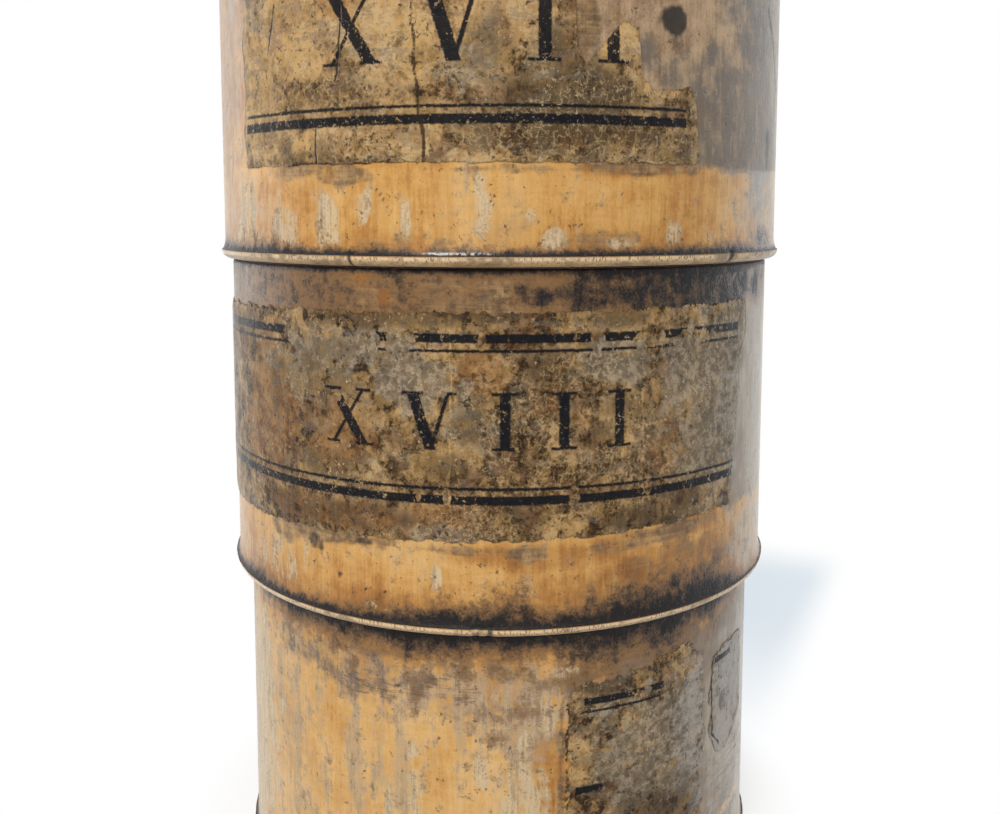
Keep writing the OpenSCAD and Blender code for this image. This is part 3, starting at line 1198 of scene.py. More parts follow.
@dataclass
class Cup:
    """One turned cup: rim, wall, shoulder, threaded neck, bore and socket, with its wear and its painted
    shade and highlight.
    """

    sizes: TowerSizes
    tier: int
    marks: Marks = ()
    nicks: tuple[float, ...] = ()
    tone: float = 0.0
    # Depths, at degrees round the tower, of the grime in the cove and of the painted shade with grime under
    # the seam.
    cove: Depths = ((0.0, 1.8), (90.0, 1.6), (140.0, 2.4), (200.0, 1.7), (250.0, 2.2))
    seam: Depths = ((0.0, 1.2), (90.0, 1.6), (140.0, 1.0), (200.0, 1.8), (250.0, 1.1))
    front_columns: int = 280
    back_columns: int = 140
    oval: ClassVar[float] = 0.08
    wave: ClassVar[float] = 0.05
    edge: ClassVar[float] = 0.35
    # Strength and fall-off of the grime in the cove and of the painted shade with grime under the seam.
    grime_and_shade_strength: ClassVar[float] = 1.1
    grime_and_shade_fall: ClassVar[float] = 0.69
    grime_and_shade_power: ClassVar[float] = 1.3
    grime_and_shade_least: ClassVar[float] = 0.15
    # Strength and reach of the painted shade and browning towards the rim and the seam.
    shade_and_browning_strength: ClassVar[float] = 0.8
    shade_and_browning_reach: ClassVar[Pair] = (2.6, 4.0)
    nick_depth: ClassVar[float] = 0.22
    nick_half: ClassVar[float] = 0.45
    bead_rough: ClassVar[float] = 0.05
    marked: ClassVar[tuple[Wear, ...]] = (
        Wear.PALE, Wear.STREAK, Wear.BARE, Wear.GREY, Wear.HAZE_AND_SHEEN, Wear.DEEP, Wear.STAIN, Wear.GLOSS,
        Wear.SCRATCH,
    )

    def angles(self) -> Array:
        """Degrees of the columns, closer together over the front half."""
        front = np.linspace(-90.0, 90.0, self.front_columns, endpoint=False)
        back = np.linspace(90.0, 270.0, self.back_columns, endpoint=False)
        return np.concatenate([front, back])

    def unround(self, angle: Array) -> Array:
        """How far shrinkage has moved the wall out or in: an oval and a slow random wave."""
        oval = self.oval * np.cos(np.radians(2 * angle + 70.0 * self.tier))
        slow = Lattice(Seed.SHRINKAGE + self.tier).field(angle, np.zeros_like(angle), (60.0, 40.0), 2)
        return oval + self.wave * slow

    def section(self) -> tuple[Array, Array, Array]:
        """Closed section: out round the rim, up the wall, over the neck, down the bore, out of the socket.

        Returns:
            Radii, heights and zones of its points, each as one column.
        """
        s, edge = self.sizes, self.edge
        trim = s.trim(self.tier)
        flat, foot, top = s.rim_radius - trim - s.rim_round, s.wall_foot - trim, s.wall_top - trim
        neck_end = s.body_height + s.neck_height
        ledge = s.floor_base(self.tier) + s.floor_thickness
        neck = [
            (top - edge, s.body_height), (s.core, s.body_height), (s.core, neck_end - s.neck_bevel),
            (s.core - s.neck_bevel, neck_end), (s.bore, neck_end),
        ]
        inner = [(s.bore, neck_end), (s.bore, ledge), (s.rebate, ledge)]
        runs = rim_runs(s, trim) + [
            (run((foot, s.wall_start), (top, s.body_height - edge), 88), Zone.OUTSIDE),
            (sweep((top - edge, s.body_height - edge), (edge, edge), (0, 90), 5), Zone.OUTSIDE),
            (path(neck, (5, 36, 3, 3)), Zone.NECK),
        ]
        if self.tier == 1:
            runs += [
                (path([*inner, (s.rebate, 0.0)], (8, 2, 4)), Zone.INNER),
                (run((s.rebate, 0.0), (flat, 0.0), 6), Zone.SEAM),
            ]
        else:
            inner += [(s.rebate, s.socket_height), (s.socket, s.socket_height)]
            runs += [
                (path(inner, (8, 2, 3, 2)), Zone.INNER),
                (run((s.socket, s.socket_height), (s.socket, 0.0), 36), Zone.SOCKET),
                (run((s.socket, 0.0), (flat, 0.0), 4), Zone.SEAM),
            ]
        return joined(runs)

    def dirt_and_shade(self, angle: Array, height: Array) -> Array:
        """Grime in the cove above the rim, and painted shade with grime under the seam above.

        Args:
            angle: Degrees round the tower.
            height: Heights above the seam.

        Returns:
            Shares of grime and painted shade.
        """
        s = self.sizes
        cove = np.interp(angle, *np.array(self.cove).T, period=FULL_TURN) - s.rim_height
        seam = np.interp(angle, *np.array(self.seam).T, period=FULL_TURN)
        above_rim = self._grime_and_shade(Seed.COVE, cove, angle, height - s.rim_height) * (height > s.rim_height)
        # Under the seam the share is painted shade with grime.
        shade_and_dirt_under_seam = self._grime_and_shade(Seed.SEAM, seam, angle, s.body_height - height)
        return self.grime_and_shade_strength * np.maximum(above_rim, shade_and_dirt_under_seam)

    def _grime_and_shade(self, seed: Seed, depth: Array, angle: Array, gap: Array) -> Array:
        """Share of grime and painted shade, falling off with a power of the gap to its corner, half gone at a
        depth that waves.
        """
        wave = Lattice(seed + self.tier).field(angle, 0 * gap, (9.0, 40.0), 4)
        depth = np.clip(depth * (1 + 0.5 * wave), self.grime_and_shade_least, None)
        return np.exp(-self.grime_and_shade_fall * (np.clip(gap, 0, None) / depth) ** self.grime_and_shade_power)

    def shade(self, angle: Array, height: Array) -> Array:
        """Painted shade and browning of the varnish towards the rim and the seam, which fall off up and down
        the wall.

        Args:
            angle: Degrees round the tower.
            height: Heights above the seam.

        Returns:
            Shares of painted shade and browning.
        """
        s = self.sizes
        wave = 1 + 0.7 * Lattice(Seed.SHADE_AND_BROWNING + self.tier).field(angle, height, (25.0, 12.0), 3)
        low = np.exp(-np.clip(height - s.rim_height, 0, None) / self.shade_and_browning_reach[0])
        high = np.exp(-np.clip(s.body_height - height, 0, None) / self.shade_and_browning_reach[1])
        return np.clip(self.shade_and_browning_strength * wave * (low + high), 0, 1)

    def wear(self, angle: Array, height: Array, zone: Array) -> dict[Wear, Array]:
        """All kinds of wear on the cup's grid, from its marks, its rim, its grime and its painted shade.

        Args:
            angle: Degrees of the columns, as one row.
            height: Heights of the rows, as one column.
            zone: Zones of the rows, as one column.

        Returns:
            One grid of shares for each kind.
        """
        s = self.sizes
        outside = (zone == Zone.OUTSIDE).astype(float)
        shape = np.broadcast(angle, height).shape
        found = {kind: np.zeros(shape) for kind in self.marked}
        found[Wear.TONE] = np.full(shape, self.tone)
        found[Wear.SHADE] = self.shade(angle, height) * outside
        found[Wear.GRIME_AND_SHADE] = self.dirt_and_shade(angle, height) * outside
        warp = Lattice(Seed.MARK_STEP * self.tier).field(angle, height, (5.0, 3.0), 3)
        for mark in self.marks:
            near = mark.near(angle[0], s.wall_foot)
            cover = mark.cover(angle[:, near], height, s.wall_foot, warp[:, near]) * outside
            found[mark.kind][:, near] = np.maximum(found[mark.kind][:, near], cover)
        # The bead's share rises towards its top, which the varnish paints lighter as a highlight.
        on_rim = band(height, (0.02, 0.08), (s.rim_height + 0.05, 0.15))
        found[Wear.WORN_AND_LIT] = on_rim * (0.65 + 0.35 * eased((height - 0.35) / 0.5)) * outside * np.ones(shape)
        found[Wear.INSIDE] = (zone >= Zone.NECK) * np.ones(shape)
        return found

    def piece(self) -> Piece:
        """Works out the cup's surface: its section turned round the axis, with threads, nicks and shrinkage.

        Returns:
            The piece, ready to make.
        """
        s = self.sizes
        angle = self.angles()[None, :]
        radius, height, zone = self.section()
        surface = radius + np.where(zone == Zone.OUTSIDE, self.unround(angle), 0.0)
        # Only rows exactly on the core carry the ridge; rounding leaves some rows out.
        on_neck = (zone == Zone.NECK) & (radius == s.core)
        surface = surface + on_neck * s.thread(angle, height - s.body_height, 0.0)
        if self.tier > 1:
            groove = s.thread(angle, height + s.seam_gap, s.thread_gap)
            surface = surface + (zone == Zone.SOCKET) * groove
        on_rim = eased((s.rim_height + 0.5 - height) / 0.4) * (zone == Zone.OUTSIDE)
        for nick in self.nicks:
            gap = np.radians(turn_gap(angle, nick)) * s.rim_radius
            surface = surface - self.nick_depth * on_rim * eased(1.4 - np.abs(gap) / self.nick_half)
        rough = Lattice(Seed.BEAD + self.tier).field(angle, height, (1.6, 1.0), 2)
        surface = surface - self.bead_rough * on_rim * np.clip(rough, 0, None)
        points = around(surface, angle, height + (self.tier - 1) * s.tier_height)
        faces = grid_faces(len(radius), angle.size, True, True).tolist()
        wear = self.wear(angle, height, zone)
        name = f"tier_{self.tier}_cup"
        return Piece(f"{name}_turned", name, f"tier_{self.tier}", "turned_wood", points, faces, wear)


@dataclass
class Label:
    """A paper label around a cup's wall, torn along its outline, with its print and wear."""

    cup: Cup
    name: str
    left: float
    right: float
    upper: Depths
    lower: Depths
    printed: Print
    marks: Marks = ()
    tone: float = 0.0
    outline: float = 0.3
    thick: float = 0.2
    fray: float = 0.12
    lean: float = 0.0
    tear: float = 0.35
    columns: int = 360
    rows: int = 64
    fringe: ClassVar[float] = 57.3
    thin_edge: ClassVar[float] = 0.15
    wrinkle: ClassVar[float] = 0.05
    least: ClassVar[float] = 0.03
    marked: ClassVar[tuple[Wear, ...]] = (
        Wear.LIGHT, Wear.RUST, Wear.GREY, Wear.HAZE_AND_SHEEN, Wear.DEEP, Wear.CRAZE, Wear.SCUFF, Wear.CRACK,
    )

    def grid(self) -> tuple[Array, Array]:
        """Angles and heights of the points: evenly across, and evenly between the torn lower and upper edges.

        Returns:
            Two grids, in degrees and in millimetres.
        """
        s = self.cup.sizes
        torn = Lattice(sum(map(ord, self.name)))
        across = np.linspace(0.0, 1.0, self.columns)[None, :]
        up = np.linspace(0.0, 1.0, self.rows)[:, None]
        base = self.left + (self.right - self.left) * across
        ragged = torn.field(base, 0 * base, (3.0, 40.0), 4) * self.tear
        fringe = torn.field(0 * up + 5.0, up * s.label_height, (40.0, 3.0), 4)
        fringe = fringe * self.tear / s.wall_foot * self.fringe
        low = np.interp(base, *np.array(self.lower).T) * s.label_height + s.label_foot + 0.5 * ragged
        high = np.interp(base, *np.array(self.upper).T) * s.label_height + s.label_foot + ragged
        angle = base + fringe * 1.5 * ((1 - across) ** 30 - across**30) + self.lean * across**4 * (up - 0.5)
        return angle, low + np.maximum(high - low, 0.2) * up

    def wear(self, angle: Array, height: Array, rim: Array) -> dict[Wear, Array]:
        """All kinds of wear on the label's grid.

        Args:
            angle: Degrees of the points.
            height: Heights of the points.
            rim: Distance from the label's edge in millimetres.

        Returns:
            One grid of shares for each kind.
        """
        found = {kind: np.zeros(angle.shape) for kind in self.marked}
        warp = Lattice(Seed.PAPER_MARKS + self.cup.tier).field(angle, height, (4.0, 2.5), 3)
        for mark in self.marks:
            cover = mark.cover(angle, height, self.cup.sizes.wall_foot, warp)
            found[mark.kind] = np.maximum(found[mark.kind], cover)
        found[Wear.EDGE] = np.clip(1 - rim / EDGE_BAND, 0, 1)
        found[Wear.TONE] = np.full(angle.shape, self.tone)
        return found

    def piece(self) -> Piece:
        """Works out the paper: a front a little proud of the wall, thin at its edge, and a back joined to it.

        Returns:
            The piece, ready to make.
        """
        s = self.cup.sizes
        tier = self.cup.tier
        angle, height = self.grid()
        across = np.minimum(angle - angle[:, :1], angle[:, -1:] - angle) * math.radians(1) * s.wall_foot
        rim = np.minimum(across, np.minimum(height - height[:1], height[-1:] - height))
        wall = s.wall(tier, height) + self.cup.unround(angle)
        wrinkle = Lattice(Seed.WRINKLE_STEP * tier).field(angle, height, (4.0, 4.0), 3)
        thick = self.thick * (self.thin_edge + (1 - self.thin_edge) * eased(rim / 1.4))
        thick = thick + self.wrinkle * wrinkle * eased(rim / 1.0)
        base = (tier - 1) * s.tier_height
        front = around(wall + s.glue + np.clip(thick, self.least, None), angle, height + base)
        back = around(wall + s.glue, angle, height + base)
        rows, columns = angle.shape
        faces = self._faces(rows, columns)
        wear = {kind: np.tile(grid.ravel(), 2) for kind, grid in self.wear(angle, height, rim).items()}
        arc = np.stack([np.radians(angle).ravel() * s.wall_foot, height.ravel()], axis=1)
        return Piece(
            f"{self.name}_paper", self.name, f"tier_{tier}", "label_paper",
            np.concatenate([front, back]), faces, wear, np.concatenate([arc, arc]),
        )

    @staticmethod
    def _faces(rows: int, columns: int) -> list:
        """Quads of the front, the back turned the other way, and the strip between them round the edge."""
        count = rows * columns
        front = grid_faces(rows, columns, False, False)
        back = grid_faces(rows, columns, False, False, count)[:, ::-1]
        index = np.arange(count).reshape(rows, columns)
        ring = np.concatenate([index[0, :-1], index[:-1, -1], index[-1, :0:-1], index[:0:-1, 0]])
        following = np.roll(ring, -1)
        strip = np.stack([following, ring, ring + count, following + count], axis=1)
        return np.concatenate([front, back, strip]).tolist()


@dataclass
class FloorDisc:
    """A turned disc that closes the foot of a cup, with a shallow dish on top."""

    sizes: TowerSizes
    tier: int
    columns: int = 160
    ring_depth: ClassVar[float] = 0.03
    ring_pitch: ClassVar[float] = 5.5

    def piece(self) -> Piece:
        """Works out the disc: its section from the middle of the underside round to the middle of the dish.

        Returns:
            The piece, ready to make.
        """
        s = self.sizes
        base = (self.tier - 1) * s.tier_height + s.floor_base(self.tier)
        top = s.floor_thickness - s.fit_gap
        outer, inner = s.rebate - s.fit_gap, s.bore - s.fit_gap
        corners = [
            (0.4, 0.0), (outer - 0.3, 0.0), (outer, 0.3), (outer, top - 0.2), (outer - 0.2, top),
            (inner, top), (0.3, top - s.floor_dish),
        ]
        section = path(corners, (24, 3, 3, 2, 3, 36))
        radius, height = section.T
        rings = self.ring_depth * np.sin(radius * self.ring_pitch) * (radius < inner)
        section[:, 1] += np.where(height < 0.01, np.abs(rings), rings)
        points, faces = capped(section, self.columns, base, (0.0, top - s.floor_dish))
        name = f"tier_{self.tier}_floor"
        body = "tier_1" if self.tier == 1 else f"floor_{self.tier}"
        return Piece(f"{name}_turned", name, body, "floor_wood", points, faces)


def capped(section: Array, columns: int, base: float, poles: Pair) -> tuple[Array, list]:
    """Turned form whose section starts and ends near the axis, closed there by two poles.

    Args:
        section: Radius and height of each of its rings.
        columns: Points in a ring.
        base: Height of the form's own zero above the floor.
        poles: Heights of the poles at the section's start and end.

    Returns:
        The points, with the poles last, and the quads and triangles between them.
    """
    rows = len(section)
    angle = np.linspace(0.0, FULL_TURN, columns, endpoint=False)[None, :]
    rings = around(section[:, :1], angle, section[:, 1:] + base)
    points = np.concatenate([rings, [[0.0, 0.0, base + pole] for pole in poles]])
    quads = grid_faces(rows, columns, False, True)
    j = np.arange(columns)
    beside = (j + 1) % columns
    last = (rows - 1) * columns
    low = np.stack([np.full(columns, rows * columns), beside, j], axis=1)
    high = np.stack([np.full(columns, rows * columns + 1), last + j, last + beside], axis=1)
    return points, quads.tolist() + low.tolist() + high.tolist()


@dataclass
class Lid:
    """The domed lid with its socket, cut ring and button."""

    sizes: TowerSizes
    rim_dirt: float = 1.2
    columns: int = 360
    button_columns: int = 96
    tiers: int = 4

    @property
    def base(self) -> float:
        """Height of the lid's seam above the floor."""
        return self.tiers * self.sizes.tier_height

    @property
    def edge(self) -> float:
        """Height of the dome's foot above the lid's seam."""
        return self.sizes.socket_height + self.sizes.lid_roof

    @property
    def foot(self) -> float:
        """Radius of the dome's foot, at the fillet's inner edge."""
        return self.sizes.wall_top - self.sizes.lid_round - self.sizes.lid_fillet

    def dome(self, radius: Array) -> Array:
        """Height of the dome: part of a sphere over its foot."""
        s = self.sizes
        sphere = (self.foot**2 + s.lid_dome**2) / (2 * s.lid_dome)
        return self.edge + s.lid_dome - sphere + np.sqrt(sphere**2 - radius**2)

    def section(self) -> tuple[Array, Array, Array]:
        """Closed section: round the rim, up the wall, over the dome, down the bore and out of the socket.

        Returns:
            Radii, heights and zones of its points, each as one column.
        """
        s = self.sizes
        seat = s.button_radius + s.fit_gap
        bore = s.tenon_radius + s.fit_gap
        radii = np.linspace(self.foot, seat, 90, endpoint=False)
        groove = np.clip(s.lid_ring_depth**2 - (radii - s.lid_ring_radius) ** 2, 0, None) ** 0.5
        dome = np.stack([radii, self.dome(radii) - groove], axis=1)
        seat_height = float(self.dome(np.array(seat)))
        turn = s.wall_top - s.lid_round
        corner = sweep((turn, self.edge - s.lid_round), (s.lid_round, s.lid_round), (0, 90), 10)
        inner = [
            (seat, seat_height), (bore, seat_height), (bore, s.socket_height), (s.socket, s.socket_height),
        ]
        return joined(rim_runs(s) + [
            (run((s.wall_foot, s.wall_start), (s.wall_top, self.edge - s.lid_round), 22), Zone.OUTSIDE),
            (corner, Zone.OUTSIDE),
            (run((turn, self.edge), (self.foot, self.edge), 4), Zone.OUTSIDE),
            (dome, Zone.OUTSIDE),
            (path(inner, (3, 4, 20)), Zone.INNER),
            (run((s.socket, s.socket_height), (s.socket, 0.0), 36), Zone.SOCKET),
            (run((s.socket, 0.0), (s.rim_radius - s.rim_round, 0.0), 4), Zone.SEAM),
        ])

    def cap(self) -> Piece:
        """Works out the cap: its section turned round the axis, with the socket's groove and its wear.

        Returns:
            The piece, ready to make.
        """
        s = self.sizes
        angle = np.linspace(0.0, FULL_TURN, self.columns, endpoint=False)[None, :]
        radius, height, zone = self.section()
        groove = s.thread(angle, height + s.seam_gap, s.thread_gap)
        surface = radius + (zone == Zone.SOCKET) * groove
        points = around(surface, angle, height + self.base)
        faces = grid_faces(len(radius), self.columns, True, True).tolist()
        wear = self.cap_wear(angle, radius, height, zone)
        return Piece("lid_cap_turned", "lid_cap", "lid", "turned_wood", points, faces, wear)

    def cap_wear(self, angle: Array, radius: Array, height: Array, zone: Array) -> dict[Wear, Array]:
        """All kinds of wear on the cap's grid: dirt in its corners, clouds on its top, rubbed edges.

        Args:
            angle: Degrees of the columns, as one row.
            radius: Radii of the rows, as one column.
            height: Heights of the rows, as one column.
            zone: Zones of the rows, as one column.

        Returns:
            One grid of shares for each kind.
        """
        s = self.sizes
        outside = (zone == Zone.OUTSIDE).astype(float)
        full = np.ones(np.broadcast(angle, height).shape)
        wave = Lattice(Seed.LID_COVE).field(angle, 0 * height, (14.0, 40.0), 4)
        depth = np.clip(self.rim_dirt * (1 + wave), 0.4, None)
        in_cove = faded(height - s.rim_height, 1.25, depth) * (height > s.rim_height + 0.05)
        on_top = height > self.edge
        in_ring = faded(np.abs(radius - s.lid_ring_radius), 1.2, s.lid_ring_depth) * on_top
        in_fillet = faded(np.abs(radius - self.foot), 1.3, 0.9) * (height > self.edge - 0.1)
        by_button = faded(radius - s.button_radius, 1.1, 1.2) * on_top
        on_dome = np.maximum(np.maximum(in_ring * 0.9, in_fillet * 0.8), by_button)
        clouds = Lattice(Seed.LID_CLOUDS).field(angle, radius, (40.0, 9.0), 3)
        on_rim = band(height, (0.03, 0.12), (s.rim_height + 0.12, 0.15))
        by_edge = eased(1 - np.abs(height - self.edge + 0.7) / 1.1)
        by_edge = by_edge * (radius > s.wall_top - s.lid_round - 0.2)
        return {
            Wear.GRIME_AND_SHADE: np.maximum(in_cove, on_dome) * outside * full,
            Wear.PALE: np.clip(0.35 + 0.6 * clouds, 0, 1) * outside,
            Wear.DEEP: np.clip(0.25 - 0.7 * clouds, 0, 1) * outside,
            Wear.GREY: np.clip(clouds - 0.45, 0, 1) * outside,
            Wear.WORN_AND_LIT: np.maximum(on_rim, 0.7 * by_edge) * outside * full,
            Wear.INSIDE: (zone >= Zone.NECK) * full,
        }

    def button(self) -> Piece:
        """Works out the button: a tenon, a flat seat and a rounded head with a fine bead at its foot.

        Returns:
            The piece, ready to make.
        """
        s = self.sizes
        seat = float(self.dome(np.array(s.button_radius + s.fit_gap))) + s.fit_gap
        low = s.socket_height + s.fit_gap
        tenon = [
            (0.3, low), (s.tenon_radius - 0.3, low), (s.tenon_radius, low + 0.3), (s.tenon_radius, seat),
            (s.button_radius - 0.2, seat),
        ]
        bead = sweep((s.button_radius - 0.35, seat + 0.35), (0.35, 0.35), (-90, 90), 10)
        head = sweep((0.0, seat + 0.7), (s.button_radius - 0.45, s.button_height - 0.7), (0, 88), 26)
        section = np.concatenate([path(tenon, (4, 2, 5, 4)), bead, head])
        top = seat + s.button_height
        points, faces = capped(section, self.button_columns, self.base, (low, top))
        angle = np.linspace(0.0, FULL_TURN, self.button_columns, endpoint=False)[None, :]
        full = np.ones((len(section), self.button_columns))
        height = section[:, 1:] - seat
        clouds = Lattice(Seed.BUTTON_CLOUDS).field(angle, section[:, 1:] * 3, (60.0, 4.0), 3)
        # Each grid of shares, then the shares at the two poles.
        grids = {
            Wear.GRIME_AND_SHADE: (faded(np.abs(height - 0.62), 1.2, 0.35) * full, (0, 0)),
            Wear.WORN_AND_LIT: (eased((height - s.button_height + 1.0) / 0.9) * full * 0.75, (0, 0.75)),
            Wear.PALE: (np.clip(0.3 + 0.6 * clouds, 0, 1) * full, (0, 0.3)),
            Wear.INSIDE: ((height < -0.01) * full, (1, 0)),
        }
        wear = {kind: np.concatenate([grid.ravel(), ends]) for kind, (grid, ends) in grids.items()}
        return Piece("lid_button_turned", "lid_button", "button", "turned_wood", points, faces, wear)


@dataclass(frozen=True)
class Lamp:
    """A square soft lamp that faces the middle of the tower: its direction from there, and its strength."""

    name: str
    azimuth: float
    elevation: float
    distance: float
    size: float
    power: float
    tint: Colour

    def build(self, aim: float) -> None:
        """Hangs the lamp at its azimuth from the front and elevation, about a point on the axis.

        Args:
            aim: Height of that point in metres.
        """
        data = bpy.data.lights.new(self.name, "AREA")
        data.size = self.size
        data.energy = self.power
        data.color = self.tint
        lamp = bpy.data.objects.new(self.name, data)
        turn, rise = math.radians(self.azimuth), math.radians(self.elevation)
        out, up = self.distance * math.cos(rise), self.distance * math.sin(rise)
        lamp.location = (out * math.sin(turn), -out * math.cos(turn), aim + up)
        lamp.rotation_euler = (math.pi / 2 - rise, 0.0, turn)
        bpy.context.scene.collection.objects.link(lamp)


@dataclass(frozen=True)
class Studio:
    """Camera at the photograph's viewing angle, soft lamps, a pale floor with a painted shadow, and a white
    surround.
    """

    focal_pixels: float = 1002.0
    picture_width: float = 1000.0
    picture_height: float = 814.0
    centre_column: float = 499.4
    centre_row: float = 410.0
    pitch: float = 10.92
    distance: float = 138.4
    height: float = 85.1
    sensor: float = 36.0
    ambient: float = 0.36
    ambient_tint: Colour = (0.88, 0.95, 1.0)
    white: Colour = (1.0, 1.0, 1.0)
    floor_colour: Colour = (0.90, 0.91, 0.92)
    floor_reach: float = 4.0
    floor_near: float = 0.65
    floor_fade: Pair = (0.034, 0.047)
    # Painted shadow on the floor: directions, extent, strength and tint of a strip behind and right of the
    # tower.
    shade_side: Vector = (0.902, -0.432, 0.0)
    shade_way: Vector = (0.432, 0.902, 0.0)
    shade_half: Pair = (0.0265, 0.0365)
    shade_start: Pair = (0.012, 0.09)
    shade_end: Pair = (0.108, 0.14)
    shade_strength: float = 0.2
    shade_tint: Colour = (0.77, 0.85, 0.91)
    lamps: tuple[Lamp, ...] = (
        Lamp("window", -20.0, 47.0, 0.9, 0.36, 6.8, (1.0, 0.96, 0.90)),
        Lamp("left_rim", -112.0, 10.0, 0.7, 0.5, 1.15, (0.88, 0.95, 1.0)),
        Lamp("right_rim", 112.0, 14.0, 0.7, 0.5, 0.88, (0.70, 0.86, 1.0)),
    )

    def camera(self) -> None:
        """Sets up the camera: in front of the tower, tipped down, with the picture's own focal length."""
        data = bpy.data.cameras.new("camera")
        data.sensor_width = self.sensor
        data.lens = self.focal_pixels / self.picture_width * self.sensor
        data.shift_x = (self.picture_width / 2 - self.centre_column) / self.picture_width
        data.shift_y = (self.centre_row - self.picture_height / 2) / self.picture_width
        data.clip_start = 0.01
        camera = bpy.data.objects.new("camera", data)
        camera.location = (0.0, -self.distance * METRES, self.height * METRES)
        camera.rotation_euler = (math.radians(90.0 - self.pitch), 0.0, 0.0)
        bpy.context.scene.collection.objects.link(camera)
        bpy.context.scene.camera = camera

    @staticmethod
    def seen(bench: Bench) -> Wire:
        """1 for rays from the camera, from a reflection or through something clear, else 0."""
        ray = bench.add("ShaderNodeLightPath", {}, {}, "Is Camera Ray")
        return ray.most(ray.beside("Is Glossy Ray")).most(ray.beside("Is Transmission Ray"))

    def floor(self) -> None:
        """Lays the pale floor: real shadow near the tower's foot, a painted shadow behind and right of it,
        white further off.
        """
        reach = self.floor_reach
        mesh = bpy.data.meshes.new("floor")
        corners = [(-reach, -reach, 0), (reach, -reach, 0), (reach, reach, 0), (-reach, reach, 0)]
        mesh.from_pydata(corners, [], [(0, 1, 2, 3)])
        bench = Bench(bpy.data.materials.new("floor_card"))
        spot = bench.add("ShaderNodeTexCoord", {}, {}, "Object")
        seen = self.seen(bench)
        off = bench.add("ShaderNodeVectorMath", {"operation": "LENGTH"}, {0: spot}, "Value")
        beside, behind = (
            bench.add("ShaderNodeVectorMath", {"operation": "DOT_PRODUCT"}, {0: spot, 1: way}, "Value")
            for way in (self.shade_side, self.shade_way)
        )
        # Painted shadow: a tinted strip behind and right of the tower, where a little real shading shows
        # through.
        shaded = (1 - abs(beside).step(*self.shade_half)) * behind.step(*self.shade_start)
        shaded = shaded * (1 - behind.step(*self.shade_end))
        tint = bench.mix(self.white, self.shade_tint, shaded)
        glow = bench.add("ShaderNodeEmission", {}, {"Color": tint, "Strength": 1.0})
        plain = bench.add("ShaderNodeBsdfDiffuse", {}, {"Color": self.floor_colour})
        plainness = self.floor_near + off.step(*self.floor_fade) * (1 - self.floor_near)
        share = seen * (1 - shaded * self.shade_strength) * plainness
        bench.end(bench.add("ShaderNodeMixShader", {}, {0: share, 1: plain, 2: glow}))
        mesh.materials.append(bench.owner)
        floor = bpy.data.objects.new("floor", mesh)
        bpy.context.scene.collection.objects.link(floor)

    def surround(self) -> None:
        """Lights the room evenly, and shows white to the camera, in reflections and through what is clear."""
        world = bpy.data.worlds.new("surround")
        bpy.context.scene.world = world
        bench = Bench(world)
        dim = bench.add("ShaderNodeBackground", {}, {"Color": self.ambient_tint, "Strength": self.ambient})
        bright = bench.add("ShaderNodeBackground", {}, {"Color": self.white, "Strength": 1.0})
        bench.end(bench.add("ShaderNodeMixShader", {}, {0: self.seen(bench), 1: dim, 2: bright}))

    def build(self) -> None:
        """Sets up the whole studio."""
        bpy.context.scene.view_settings.view_transform = "Standard"
        self.camera()
        self.floor()
        self.surround()
        for lamp in self.lamps:
            lamp.build(self.height * METRES)


def spots(kind: Wear, *rows: tuple[float, ...]) -> tuple[Spot, ...]:
    """Spots of one kind.

    Args:
        kind: The kind of wear.
        rows: Angle, height, half width, half height and, where it isn't full, strength of each.

    Returns:
        The spots.
    """
    return tuple(Spot(kind, *row) for row in rows)


# Wear of the sides and the back: kind, half width, half height, number of spots and greatest strength.
BACK_WEAR: tuple[tuple[Wear, float, float, int, float], ...] = (
    (Wear.PALE, 1.6, 4.0, 14, 0.8),
    (Wear.STREAK, 12.0, 14.0, 5, 0.62),
    (Wear.SHADE, 16.0, 8.0, 7, 0.8),
    (Wear.DEEP, 10.0, 3.0, 6, 0.5),
    (Wear.GREY, 12.0, 9.0, 3, 0.55),
    (Wear.BARE, 5.0, 7.0, 2, 0.55),
    (Wear.HAZE_AND_SHEEN, 11.0, 10.0, 2, 0.4),
    (Wear.STAIN, 0.7, 0.7, 5, 0.9),
    (Wear.SCRATCH, 7.0, 2.5, 5, 1.0),
)
BACK_ANGLES: Pair = (74.0, 286.0)
BACK_HEIGHTS: Pair = (3.0, 38.0)


def scattered(seed: int) -> tuple[Spot, ...]:
    """Random spots over the sides and the back of a tier, the same each time.

    Args:
        seed: Seed of the draw.

    Returns:
        The spots.
    """
    rng = np.random.default_rng(seed)
    found = []
    for kind, wide, tall, count, most in BACK_WEAR:
        for _ in range(count):
            angle, height = rng.uniform(*BACK_ANGLES), rng.uniform(*BACK_HEIGHTS)
            size, strength = rng.uniform(0.4, 1.3, 2), rng.uniform(0.6, 1.0) * most
            found.append(Spot(kind, angle, height, wide * size[0], tall * size[1], strength))
    return tuple(found)


